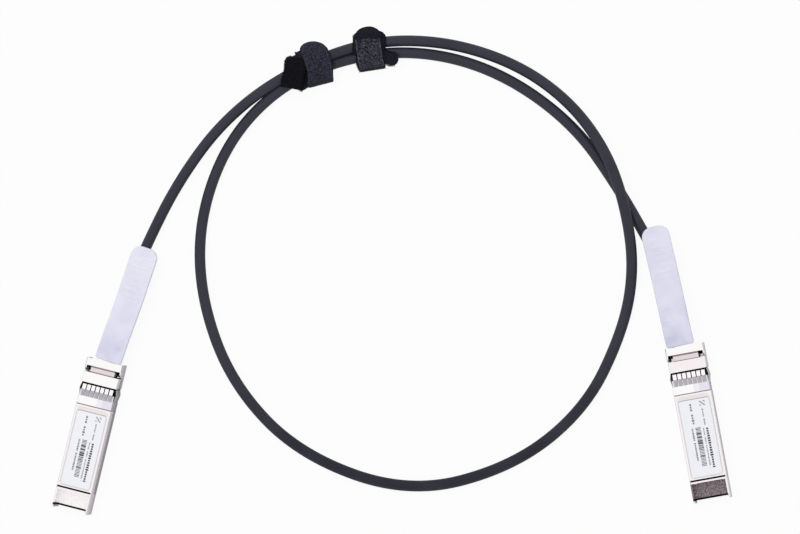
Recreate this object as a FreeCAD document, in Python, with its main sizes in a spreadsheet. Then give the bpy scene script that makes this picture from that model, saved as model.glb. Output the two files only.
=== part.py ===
import FreeCAD, Part
import math
import os
import re

import Sketcher
from FreeCAD import Placement, Rotation, Vector

# A direct attach copper cable: two pluggable end modules joined by one round twinax cable,
# which lies in a single loop held by two hook-and-loop ties. Millimetres. The origin is
# at the middle of the plugs, pull tabs and ties, on the surface that they lie on.

doc = FreeCAD.newDocument("direct_attach_cable")
sizes = doc.addObject("Spreadsheet::Sheet", "sizes")

SHEET = {
    # where each plug lies: the middle of its host end, and its lean from +Y towards +X
    "left_x": -118, "left_y": -88, "left_lean": 13.7,
    "right_x": 118.5, "right_y": -83, "right_lean": -10.4,
    # the plug's outside, from the host end to the back of the release bar
    "plug_width": 13.5, "plug_height": 8.5, "cage_depth": 47.5, "band_length": 3.9,
    "neck_length": 2.4, "bar_length": 2.7, "edge_round": 0.45,
    # the two die-cast halves
    "shell_wall": 1.1, "floor_thickness": 1.0, "cover_thickness": 1.0, "split_height": 4.9,
    "mouth_length": 10.4, "cavity_end": 4.5, "neck_inset": 2.15, "neck_bottom": 1.9,
    "neck_drop": 1.0, "cut_margin": 1,
    # the sunken hood over the host end, between two full-height skirts
    "hood_length": 7.0, "hood_setback": 1.0, "hood_top": 5.25, "hood_thickness": 0.8,
    "skirt_thickness": 0.7, "skirt_bottom": 0.3, "lip_width": 0.85, "lip_groove_width": 0.35,
    "lip_groove_depth": 0.4,
    # the stamped spring-finger collar in its groove
    "collar_length": 8.0, "collar_gap": 0.35, "collar_depth": 0.3, "collar_sheet": 0.2,
    "collar_base": 3.3, "finger_rise": 2.8, "finger_bow": 0.5, "finger_width": 1.38,
    "finger_pitch": 1.73, "finger_tip": 0.05, "collar_fit": 0.05, "top_fingers": 7,
    "side_fingers": 4, "bottom_finger_pitch": 1.5, "bottom_finger_width": 1.2,
    # the circuit board, its contacts and what is soldered to it
    "board_bottom": 2.25, "board_thickness": 1.0, "board_front": 3.2, "board_end_gap": 2.05,
    "paddle_inset": 2.15, "paddle_length": 8.5, "board_gap": 0.2, "ledge_width": 0.9,
    "ledge_front": 13.5, "ledge_end_gap": 2.7, "contact_count": 10, "contact_pitch": 0.8,
    "contact_width": 0.5, "contact_length": 2.6, "contact_thickness": 0.05, "contact_setback": 0.4,
    "chip_width": 3.0, "chip_height": 0.8, "chip_setback": 4.5, "part_length": 1.0,
    "part_width": 0.5, "part_height": 0.5, "part_pitch": 1.4, "part_setback": 5,
    "part_count": 6,
    "core_radius": 0.85, "core_spacing": 1.95, "core_overlap": 5.7, "core_lift": 0.03,
    "conductor_width": 0.3, "conductor_height": 0.39, "conductor_length": 1.8,
    "conductor_spacing": 0.6,
    # the crimped ferrule that the cable is held by
    "ferrule_wall": 0.35, "ferrule_length": 8.6, "ferrule_fit": 0.05, "flange_wall": 0.8,
    "flange_setback": 2, "flange_length": 1.2,
    # two countersunk screws that clamp the halves
    "screw_inset": 2.55, "screw_setback": 2.5, "screw_radius": 0.7, "screw_head_radius": 1.15,
    "screw_head_depth": 0.55, "screw_length": 6.2, "screw_post_radius": 1.35,
    "screw_fit": 0.03, "screw_recess": 0.05, "drive_width": 0.3, "drive_length": 1.4,
    "drive_depth": 0.35,
    # the sliding release yoke, its channel and the latch boss that it frees
    "channel_width": 6.3, "channel_depth": 1.7, "channel_reach": 4.8, "channel_roof": 0.5,
    "boss_width": 2.6, "boss_length": 2.6, "shoulder_setback": 2.5, "slide_gap": 0.15,
    "boss_step": 0.3,
    "yoke_sheet": 0.6, "yoke_bottom": 0.3, "bar_drop": 0.2, "yoke_corner": 1.15,
    "arm_gap": 0.3, "arm_bottom": 1.2, "arm_top": 3.6, "arm_recess": 0.5, "lobe_gap": 0.3,
    "lobe_drop": 1.1, "lobe_round": 1.6,
    "yoke_rear_cut": 1.1, "tine_reach": 3.9, "tine_drop": 0.25, "tine_length": 1.0,
    "boss_clearance": 0.25,
    "insert_width": 5.6, "insert_length": 5.5, "insert_drop": 0.3,
    "lug_setback": 3.15, "lug_thickness": 0.6, "lug_root": 0.75, "pocket_width": 2.2,
    "pocket_bottom": 0.9, "pocket_height": 2.2, "pocket_wall": 1.0,
    "spring_radius": 0.72, "spring_wire": 0.32, "spring_turns": 4, "spring_end_gap": 0.05,
    # the soft pull tab
    "tab_length": 44.2, "tab_width": 9.5, "tab_thickness": 1.3, "tab_drop": 2.4,
    "tab_gap": 0.15, "tab_under_insert": 0.35, "tab_bend_start": 3, "tab_bend_length": 24,
    "tab_end_round": 3.6, "tab_near_round": 1.4, "rib_count": 7, "rib_pitch": 2.3,
    "rib_width": 6.0, "rib_length": 0.8, "rib_height": 0.25, "rib_end": 5.0,
    "left_tab_shift": 1.0, "left_tab_swing": 5.0, "right_tab_shift": -1.1,
    "right_tab_swing": -2.6, "insert_fit": 0.05,
    # the label in its recess
    "label_margin": 0.95, "label_end_gap": 0.85, "label_thickness": 0.1, "label_gap": 0.7,
    "label_round": 1.1, "label_fit": 0.05,
    # the cable and the ties round its two runs
    "cable_radius": 2.0, "exit_straight": 9.4, "exit_fall": 18, "tie_cable_height": 3.6,
    "run_spacing": 4.3, "tie_sheet": 1.1,
    "tie_side_gap": 0.9, "tie_roof_gap": 0.35, "tie_fold": 3.3, "tie_bevel": 1.4,
    "tongue_height": 4.2,
    "left_tie_x": -26.8, "left_tie_y": 75.2, "left_tie_turn": 13, "left_tie_width": 9.3,
    "left_tie_tongue": 4.7, "left_tie_round": 4.5, "second_turn_width": 8.0,
    "second_turn_offset": 7.5, "second_turn_angle": 14,
    "right_tie_x": -7.5, "right_tie_y": 80.4, "right_tie_turn": 7.5, "right_tie_width": 9.6,
    "right_tie_tongue": 4.4, "right_tie_round": 4.0, "tail_width": 5.2, "tail_length": 5.5,
    "tail_thickness": 0.6, "tail_edge": 6.6,
}

# sizes and places that follow from those above
DERIVED = {
    "half_width": "plug_width / 2",
    "hood_rear": "hood_length + lip_width",
    "band_rear": "cage_depth + band_length",
    "neck_rear": "band_rear + neck_length",
    "plug_length": "neck_rear + bar_length",
    "neck_width": "plug_width - 2 * neck_inset",
    "neck_top": "plug_height - neck_drop",
    "cavity_rear": "cage_depth - cavity_end",
    "collar_front": "cage_depth - collar_gap - collar_length",
    "groove_front": "collar_front - collar_fit",
    "board_top": "board_bottom + board_thickness",
    "board_width": "plug_width - 2 * shell_wall - 2 * board_gap",
    "paddle_width": "plug_width - 2 * paddle_inset",
    "flange_front": "cavity_rear + flange_setback",
    "ferrule_rear": "cavity_rear + ferrule_length",
    "screw_x": "half_width - screw_inset",
    "screw_y": "groove_front - screw_setback",
    "board_rear": "screw_y - screw_post_radius - board_end_gap",
    "ledge_length": "board_rear - ledge_end_gap - ledge_front",
    "core_front": "board_rear - core_overlap",
    "part_y": "core_front - part_setback",
    "chip_y": "part_y - chip_setback",
    "latch_shoulder": "cage_depth - shoulder_setback",
    "channel_front": "latch_shoulder - channel_reach",
    "tine_front": "latch_shoulder - tine_reach",
    "tongue_half": "channel_width / 2 - slide_gap",
    "lug_front": "cage_depth - lug_setback",
    "pocket_rear": "band_rear - pocket_wall",
    "arm_front": "cage_depth + arm_gap",
    "lobe_front": "band_rear + lobe_gap",
    "lobe_top": "plug_height - lobe_drop",
    "yoke_top": "plug_height - bar_drop",
    "plate_inner": "half_width - arm_recess + slide_gap",
    "plate_outer": "plate_inner + yoke_sheet",
    "insert_bottom": "yoke_top - insert_drop - yoke_sheet",
    "tab_bottom": "insert_bottom - tab_under_insert",
    "label_width": "plug_width - 2 * label_margin",
    "label_front": "hood_rear + lip_groove_width + label_gap",
    "label_length": "collar_front - label_front - label_end_gap",
    "exit_near": "ferrule_rear + exit_straight",
    "exit_far": "exit_near + exit_fall",
}

cells = [(alias, str(value)) for alias, value in SHEET.items()]
cells += [(alias, "=" + formula) for alias, formula in DERIVED.items()]
for row, (alias, content) in enumerate(cells, 1):
    sizes.set("A%d" % row, alias)
    sizes.set("B%d" % row, content)
    sizes.setAlias("B%d" % row, alias)
doc.recompute()


def size(alias):
    """The value of one cell of the sheet."""
    return float(sizes.get(alias))


def linked(formula):
    """A formula in the sheet's own words, as an expression on the sheet."""
    return re.sub(r"[a-z]+(?:_[a-z]+)+", lambda word: "sizes." + word.group(0), formula)


def bind(thing, **formulas):
    for name, formula in formulas.items():
        thing.setExpression(name.replace("__", "."), linked(formula))


def corner(thing, x, y, z):
    bind(thing, Placement__Base__x=x, Placement__Base__y=y, Placement__Base__z=z)


def box(name, x, y, z, width, length, height):
    """A block between x and x + width, y and y + length, z and z + height."""
    block = doc.addObject("Part::Box", name)
    bind(block, Length=width, Width=length, Height=height)
    corner(block, x, y, z)
    return block


def rod(name, x, y, z, radius, length):
    """A round bar that runs back from y, parallel to the plug's axis."""
    bar = doc.addObject("Part::Cylinder", name)
    bar.Placement = Placement(Vector(), Rotation(Vector(1, 0, 0), -90))
    bind(bar, Radius=radius, Height=length)
    corner(bar, x, y, z)
    return bar


def post(name, x, y, z, radius, height):
    """A round bar that stands on z."""
    bar = doc.addObject("Part::Cylinder", name)
    bind(bar, Radius=radius, Height=height)
    corner(bar, x, y, z)
    return bar


def fuse(name, *pieces):
    whole = doc.addObject("Part::MultiFuse", name)
    whole.Shapes = list(pieces)
    whole.Refine = True
    return whole


def cut(name, base, *tools):
    whole = doc.addObject("Part::Cut", name)
    whole.Base = base
    whole.Tool = tools[0] if len(tools) == 1 else fuse(name + "_tools", *tools)
    whole.Refine = True
    return whole


def common(name, *pieces):
    whole = doc.addObject("Part::MultiCommon", name)
    whole.Shapes = list(pieces)
    whole.Refine = True
    return whole


def group(name, *pieces):
    whole = doc.addObject("Part::Compound", name)
    whole.Links = list(pieces)
    return whole


def origin_part(body, role):
    return next(part for part in body.Origin.OriginFeatures if part.Role == role)


def outline(holder, name, plane, points):
    """A closed sketch on one of the body's own planes, with every corner on the sheet."""
    sketch = holder.newObject("Sketcher::SketchObject", name)
    sketch.AttachmentSupport = (origin_part(holder, plane), [""])
    sketch.MapMode = "FlatFace"
    count = len(points)
    turns = [2 * math.pi * step / count for step in range(count + 1)]
    ring = [Vector(math.cos(turn), math.sin(turn), 0) for turn in turns]
    for start, end in zip(ring, ring[1:]):
        sketch.addGeometry(Part.LineSegment(start, end), False)
    for index in range(count):
        following = (index + 1) % count
        sketch.addConstraint(Sketcher.Constraint("Coincident", index, 2, following, 1))
    for index, (across, up) in enumerate(points):
        for kind, value, formula in (("DistanceX", ring[index].x, across),
                                     ("DistanceY", ring[index].y, up)):
            place = sketch.addConstraint(Sketcher.Constraint(kind, -1, 1, index, 1, value))
            sketch.setExpression("Constraints[%d]" % place, linked(formula))
    return sketch


def rectangle(left, right, low, high):
    return [(left, low), (right, low), (right, high), (left, high)]


def pad(body, sketch, length, reverse=False, middle=False):
    feature = body.newObject("PartDesign::Pad", sketch.Name + "_pad")
    feature.Profile = sketch
    feature.Reversed = reverse
    feature.Midplane = middle
    bind(feature, Length=length)
    sketch.Visibility = False
    return feature


def rounded(body, feature, radius, chosen):
    """A fillet on those edges of the feature whose middle and direction pass the test."""
    doc.recompute()
    names = []
    for index, edge in enumerate(feature.Shape.Edges, 1):
        if edge.Curve.TypeId == "Part::GeomLine":
            middle = edge.valueAt((edge.FirstParameter + edge.LastParameter) / 2)
            if chosen(middle, edge.tangentAt(edge.FirstParameter)):
                names.append("Edge%d" % index)
    fillet = body.newObject("PartDesign::Fillet", feature.Name + "_fillet")
    fillet.Base = (feature, names)
    bind(fillet, Radius=radius)
    return fillet


def new_body(name):
    return doc.addObject("PartDesign::Body", name)


def place(thing, side, z="0"):
    """Lays a finished piece in its plug's own place."""
    thing.Placement = Placement(Vector(), Rotation(Vector(0, 0, 1), 1))
    corner(thing, side + "_x", side + "_y", z)
    bind(thing, Placement__Rotation__Angle="-" + side + "_lean")


def plug_point(side, along, height):
    """A point on the plug's axis, that far from its host end and that high."""
    lean = math.radians(size(side + "_lean"))
    return Vector(size(side + "_x") + along * math.sin(lean),
                  size(side + "_y") + along * math.cos(lean), height)


def plug_section(side):
    """The whole plug's block with its long edges rounded, which both halves are cut from."""
    body = new_body(side + "_plug_block")
    sketch = outline(body, side + "_plug_section", "XZ_Plane",
                     rectangle("-half_width", "half_width", "0", "plug_height"))
    block = pad(body, sketch, "band_rear", reverse=True)
    rounded(body, block, "edge_round", lambda middle, way: abs(way.y) > 0.9)
    return body


def collar_groove(side):
    """The shallow groove all round the plug that the finger collar sits in."""
    outer = box(side + "_groove_outer", "-half_width - cut_margin", "groove_front", "-cut_margin",
                "plug_width + 2 * cut_margin", "collar_length + collar_gap + collar_fit",
                "plug_height + 2 * cut_margin")
    inner = box(side + "_groove_inner", "-half_width + collar_depth", "groove_front - cut_margin",
                "collar_depth", "plug_width - 2 * collar_depth",
                "collar_length + collar_gap + collar_fit + 2 * cut_margin",
                "plug_height - 2 * collar_depth")
    return cut(side + "_collar_groove", outer, inner)


def ferrule_seat(side):
    """The bore through both halves for the crimped ferrule and its flange."""
    bore = rod(side + "_ferrule_bore", "0", "cavity_rear - cut_margin",
               "split_height", "cable_radius + ferrule_fit + ferrule_wall + ferrule_fit",
               "neck_rear - cavity_rear + 2 * cut_margin")
    ring = rod(side + "_flange_bore", "0", "flange_front - ferrule_fit",
               "split_height", "cable_radius + ferrule_fit + flange_wall + ferrule_fit",
               "flange_length + 2 * ferrule_fit")
    return fuse(side + "_ferrule_seat", bore, ring)


def screw_holes(side, name, radius, z, height):
    return [post(f"{side}_{name}_{hand}", sign + "screw_x", "screw_y", z, radius, height)
            for hand, sign in (("left", "-"), ("right", ""))]


def lower_shell(side, section, groove, seat):
    """The tray: it carries the board, the springs, the latch boss and the yoke's channel."""
    half = box(side + "_tray_half", "-half_width", "hood_rear", "0", "plug_width",
               "band_rear - hood_rear", "split_height")
    tray = common(side + "_tray_block", section, half)
    neck = box(side + "_tray_neck", "-neck_width / 2", "band_rear", "neck_bottom", "neck_width",
               "neck_length", "split_height - neck_bottom")
    cavity = box(side + "_tray_cavity", "-half_width + shell_wall", "hood_rear - cut_margin",
                 "floor_thickness", "plug_width - 2 * shell_wall",
                 "cavity_rear - hood_rear + cut_margin", "split_height")
    mouth = box(side + "_tray_mouth", "-half_width + shell_wall", "hood_rear - cut_margin",
                "-cut_margin", "plug_width - 2 * shell_wall",
                "mouth_length - hood_rear + cut_margin", "floor_thickness + 2 * cut_margin")
    channel = box(side + "_yoke_channel", "-channel_width / 2", "channel_front", "-cut_margin",
                  "channel_width", "neck_rear - channel_front + cut_margin",
                  "channel_depth + cut_margin")
    pocket_length = "pocket_rear - lug_front + 2 * slide_gap"
    pockets = [box(f"{side}_spring_pocket_{hand}", x, "lug_front - 2 * slide_gap",
                   "pocket_bottom", "pocket_width", pocket_length, "pocket_height")
               for hand, x in (("left", "-channel_width / 2 - pocket_width"),
                               ("right", "channel_width / 2"))]
    arm_seats = [box(f"{side}_arm_seat_{hand}", x, "arm_front - slide_gap",
                     "arm_bottom - slide_gap", "arm_recess + cut_margin",
                     "band_rear - arm_front + slide_gap + cut_margin",
                     "arm_top - arm_bottom + 2 * slide_gap")
                 for hand, x in (("left", "-half_width - cut_margin"),
                                 ("right", "half_width - arm_recess"))]
    # the channel's ceiling is the cavity's floor, so it is thickened before the channel is cut
    ceiling = box(side + "_channel_ceiling", "-half_width + shell_wall",
                  "channel_front - shell_wall", "floor_thickness",
                  "plug_width - 2 * shell_wall", "cavity_rear - channel_front + shell_wall",
                  "channel_depth + channel_roof - floor_thickness")
    ledges = [box(f"{side}_board_ledge_{hand}", x, "ledge_front", "floor_thickness",
                  "ledge_width", "ledge_length", "board_bottom - floor_thickness")
              for hand, x in (("left", "-half_width + shell_wall"),
                              ("right", "half_width - shell_wall - ledge_width"))]
    posts = screw_holes(side, "tray_post", "screw_post_radius", "floor_thickness",
                        "split_height - floor_thickness")
    shanks = screw_holes(side, "tray_hole", "screw_radius + screw_fit", "-cut_margin",
                         "split_height + 2 * cut_margin")
    heads = screw_holes(side, "screw_sink", "screw_head_radius + screw_recess", "-cut_margin",
                        "cut_margin + screw_recess + screw_head_depth + screw_fit")
    boss = new_body(side + "_latch_boss")
    wedge = outline(boss, side + "_boss_side", "YZ_Plane", [
        ("latch_shoulder - boss_length", "channel_depth"),
        ("latch_shoulder - boss_length", "channel_depth - boss_step"),
        ("latch_shoulder - boss_length + channel_depth - boss_step", "0"),
        ("latch_shoulder", "0"), ("latch_shoulder", "channel_depth")])
    pad(boss, wedge, "boss_width", middle=True)
    hollow = cut(side + "_tray_hollow", fuse(side + "_tray_solid", tray, neck), cavity, mouth)
    filled = fuse(side + "_tray_filled", hollow, ceiling, *ledges, *posts)
    bored = cut(side + "_tray_bored", filled, channel, groove, seat, *pockets, *arm_seats,
                *shanks, *heads)
    return fuse(side + "_lower_shell", bored, boss)


def upper_cover(side, section, groove, seat):
    """The lid: label recess, a sunken hood with skirts at the host end, and the rear band."""
    half = box(side + "_lid_half", "-half_width", "hood_rear", "split_height", "plug_width",
               "band_rear - hood_rear", "plug_height")
    nose = box(side + "_lid_nose", "-half_width", "0", "skirt_bottom", "plug_width",
               "hood_rear", "plug_height")
    lid = common(side + "_lid_block", section, fuse(side + "_lid_blocks", half, nose))
    neck = box(side + "_lid_neck", "-neck_width / 2", "band_rear", "split_height", "neck_width",
               "neck_length", "neck_top - split_height")
    cavity = box(side + "_lid_cavity", "-half_width + shell_wall", "hood_rear - cut_margin",
                 "split_height - cut_margin", "plug_width - 2 * shell_wall",
                 "cavity_rear - hood_rear + cut_margin",
                 "plug_height - cover_thickness - split_height + cut_margin")
    inner_width = "plug_width - 2 * skirt_thickness"
    over_hood = box(side + "_over_hood", "-half_width + skirt_thickness", "-cut_margin",
                    "hood_top", inner_width, "hood_length + cut_margin", "plug_height")
    under_hood = box(side + "_under_hood", "-half_width + skirt_thickness", "-cut_margin",
                     "-cut_margin", inner_width, "hood_rear + cut_margin",
                     "hood_top - hood_thickness + cut_margin")
    before_hood = box(side + "_before_hood", "-half_width + skirt_thickness", "-cut_margin",
                      "-cut_margin", inner_width, "hood_setback + cut_margin",
                      "plug_height + 2 * cut_margin")
    lip_wall = box(side + "_lip_wall", "-half_width + skirt_thickness", "hood_length",
                   "hood_top - hood_thickness", inner_width, "lip_width",
                   "plug_height - cover_thickness - hood_top + hood_thickness")
    lip_groove = box(side + "_lip_groove", "-half_width - cut_margin", "hood_rear",
                     "plug_height - lip_groove_depth", "plug_width + 2 * cut_margin",
                     "lip_groove_width", "lip_groove_depth + cut_margin")
    recess = box(side + "_label_recess", "-label_width / 2 - label_fit",
                 "label_front - label_fit", "plug_height - label_thickness",
                 "label_width + 2 * label_fit", "label_length + 2 * label_fit", "cut_margin")
    posts = screw_holes(side, "lid_post", "screw_post_radius", "split_height",
                        "plug_height - cover_thickness - split_height")
    shanks = screw_holes(side, "lid_hole", "screw_radius + screw_fit",
                         "split_height - cut_margin",
                         "screw_length + screw_recess - split_height + cut_margin + screw_fit")
    hollow = cut(side + "_lid_hollow", fuse(side + "_lid_solid", lid, neck),
                 cavity, over_hood, under_hood, before_hood)
    filled = fuse(side + "_lid_filled", hollow, lip_wall, *posts)
    return cut(side + "_upper_cover", filled, groove, seat, lip_groove, recess, *shanks)


def finger(body, name, plane, points, width, offset, axis, pitch, count):
    """A row of sprung fingers: one bent strip, repeated along the collar's edge."""
    sketch = outline(body, name, plane, points)
    bind(sketch, AttachmentOffset__Base__z=offset)
    strip = pad(body, sketch, width, middle=True)
    row = body.newObject("PartDesign::LinearPattern", name + "_row")
    row.Originals = [strip]
    row.Direction = (origin_part(body, axis), [""])
    row.Occurrences = count
    bind(row, Length=f"{count - 1} * {pitch}")
    body.Tip = row
    doc.recompute()


def bent_strip(surface, outward, bow):
    """A finger's side outline from the collar's base: out to its crest and down to its tip."""
    root = "collar_front + collar_base"
    crest = "collar_front + collar_base + finger_rise"
    tip = "cage_depth - collar_gap"
    sheet = "collar_sheet"
    return [(root, surface), (root, f"{surface} {outward} {sheet}"),
            (crest, f"{surface} {outward} ({sheet} + {bow})"),
            (tip, f"{surface} {outward} ({sheet} + finger_tip)"),
            (tip, f"{surface} {outward} finger_tip"), (crest, f"{surface} {outward} {bow}")]


def emi_collar(side):
    """The grounding collar: one stamped sheet, its fingers pressing on the cage all round."""
    body = new_body(side + "_emi_collar")
    inner, outer = "plug_width / 2 - collar_depth", "plug_width / 2 - collar_depth + collar_sheet"
    floor, skin = "collar_depth", "collar_depth - collar_sheet"
    roof, crown = "plug_height - collar_depth", "plug_height - collar_depth + collar_sheet"
    opening = "channel_width / 2 + collar_depth"
    points = [(f"-({opening})", skin), (f"-({outer})", skin), (f"-({outer})", crown),
              (outer, crown), (outer, skin), (opening, skin), (opening, floor), (inner, floor),
              (inner, roof), (f"-({inner})", roof), (f"-({inner})", floor),
              (f"-({opening})", floor)]
    base = outline(body, side + "_collar_base", "XZ_Plane", points)
    bind(base, AttachmentOffset__Base__z="-collar_front")
    pad(body, base, "collar_base", reverse=True)
    top_count, side_count = int(size("top_fingers")), int(size("side_fingers"))
    finger(body, side + "_top_finger", "YZ_Plane", bent_strip(roof, "+", "finger_bow"),
           "finger_width", f"-{(top_count - 1) / 2} * finger_pitch", "X_Axis", "finger_pitch",
           top_count)
    flush = "(collar_depth - collar_sheet)"
    for hand, sign in (("left", "-1"), ("right", "1")):
        across = bent_strip(inner, "+", "finger_bow")
        flank = [(f"{sign} * ({out})", along) for along, out in across]
        finger(body, f"{side}_{hand}_finger", "XY_Plane", flank, "finger_width",
               f"plug_height / 2 - {(side_count - 1) / 2} * finger_pitch", "Z_Axis",
               "finger_pitch", side_count)
        start = f"{sign} * ({opening} + bottom_finger_width / 2)"
        if sign == "-1":
            start = f"-({opening} + bottom_finger_width / 2 + bottom_finger_pitch)"
        finger(body, f"{side}_{hand}_low_finger", "YZ_Plane", bent_strip(floor, "-", flush),
               "bottom_finger_width", start, "X_Axis", "bottom_finger_pitch", 2)
    return body


def circuit_board(side):
    """The board: a narrow paddle that enters the host's socket, and a wider rear part."""
    body = new_body(side + "_circuit_board")
    shoulder, rear = "board_front + paddle_length", "board_rear"
    paddle, wide = "paddle_width / 2", "board_width / 2"
    sketch = outline(body, side + "_board_outline", "XY_Plane", [
        (f"-{paddle}", "board_front"), (paddle, "board_front"), (paddle, shoulder),
        (wide, shoulder), (wide, rear), (f"-{wide}", rear), (f"-{wide}", shoulder),
        (f"-{paddle}", shoulder)])
    bind(sketch, AttachmentOffset__Base__z="board_bottom")
    pad(body, sketch, "board_thickness")
    return body


def contact_pads(side):
    """Twenty gold contacts, ten on each face of the paddle."""
    pads = []
    count = int(size("contact_count"))
    for face, z in (("top", "board_top"), ("bottom", "board_bottom - contact_thickness")):
        for place_no in range(count):
            pads.append(box(f"{side}_{face}_contact",
                            f"{place_no - (count - 1) / 2} * contact_pitch"
                            " - contact_width / 2", "board_front + contact_setback", z,
                            "contact_width", "contact_length", "contact_thickness"))
    return group(side + "_contact_pads", *pads)


def board_parts(side):
    """The memory chip that identifies the cable, and a row of coupling capacitors."""
    chip = box(side + "_memory_chip", "-chip_width / 2", "chip_y", "board_top", "chip_width",
               "chip_width", "chip_height")
    count = int(size("part_count"))
    row = [box(f"{side}_capacitor",
               f"{place_no - (count - 1) / 2} * part_pitch - part_width / 2",
               "part_y", "board_top", "part_width", "part_length", "part_height")
           for place_no in range(count)]
    return group(side + "_board_parts", chip, *row)


def twinax_cores(side):
    """Two shielded pairs that fan out of the cable, with their bare ends on the board."""
    cores = []
    height = "board_top + core_radius + core_lift"
    for hand, sign in (("left", "-"), ("right", "")):
        middle = f"{sign}core_spacing / 2"
        jacket = rod(f"{side}_{hand}_core", middle, "core_front", height, "core_radius",
                     "cavity_rear - core_front")
        ends = [box(f"{side}_{hand}_conductor", f"{middle} {way} conductor_spacing / 2"
                    " - conductor_width / 2", "core_front - conductor_length", "board_top",
                    "conductor_width", "conductor_length", "conductor_height")
                for way in ("-", "+")]
        cores.append(fuse(f"{side}_{hand}_pair", jacket, *ends))
    return group(side + "_twinax_cores", *cores)


def crimp_ferrule(side):
    """The crimped ring on the cable's jacket, with the flange that holds it in the halves."""
    body = new_body(side + "_crimp_ferrule")
    bore = "cable_radius + ferrule_fit"
    shell, flange = f"{bore} + ferrule_wall", f"{bore} + flange_wall"
    rear = "ferrule_rear"
    sketch = outline(body, side + "_ferrule_half", "YZ_Plane", [
        ("cavity_rear", bore), (rear, bore), (rear, shell),
        ("flange_front + flange_length", shell), ("flange_front + flange_length", flange),
        ("flange_front", flange), ("flange_front", shell), ("cavity_rear", shell)])
    turned = body.newObject("PartDesign::Revolution", side + "_ferrule_turned")
    turned.Profile = sketch
    turned.ReferenceAxis = (origin_part(body, "Y_Axis"), [""])
    turned.Angle = 360
    return body


def shell_screws(side):
    """Two countersunk screws with cross recesses, set just below the tray's underside."""
    screws = []
    for hand, sign in (("left", "-"), ("right", "")):
        head = doc.addObject("Part::Cone", f"{side}_{hand}_screw_head")
        bind(head, Radius1="screw_head_radius", Radius2="screw_radius",
             Height="screw_head_depth")
        corner(head, sign + "screw_x", "screw_y", "screw_recess")
        shank = post(f"{side}_{hand}_screw_shank", sign + "screw_x", "screw_y",
                     "screw_recess", "screw_radius", "screw_length")
        drives = [box(f"{side}_{hand}_drive_{way}", f"{sign}screw_x - {width} / 2",
                      f"screw_y - {length} / 2", "-cut_margin", width, length,
                      "cut_margin + screw_recess + drive_depth")
                  for way, width, length in (("across", "drive_length", "drive_width"),
                                             ("along", "drive_width", "drive_length"))]
        blank = fuse(f"{side}_{hand}_screw_blank", head, shank)
        screws.append(cut(f"{side}_{hand}_screw", blank, *drives))
    return group(side + "_shell_screws", *screws)


def rounded_bar(name, half, low, high, front, rear, radius):
    """A bar along the plug with its four long edges rounded."""
    body = new_body(name)
    sketch = outline(body, name + "_section", "XZ_Plane",
                     rectangle(f"-{half}", half, low, high))
    bind(sketch, AttachmentOffset__Base__z=f"-{front}")
    block = pad(body, sketch, f"{rear} - {front}", reverse=True)
    rounded(body, block, radius, lambda middle, way: abs(way.y) > 0.9)
    return body


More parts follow.
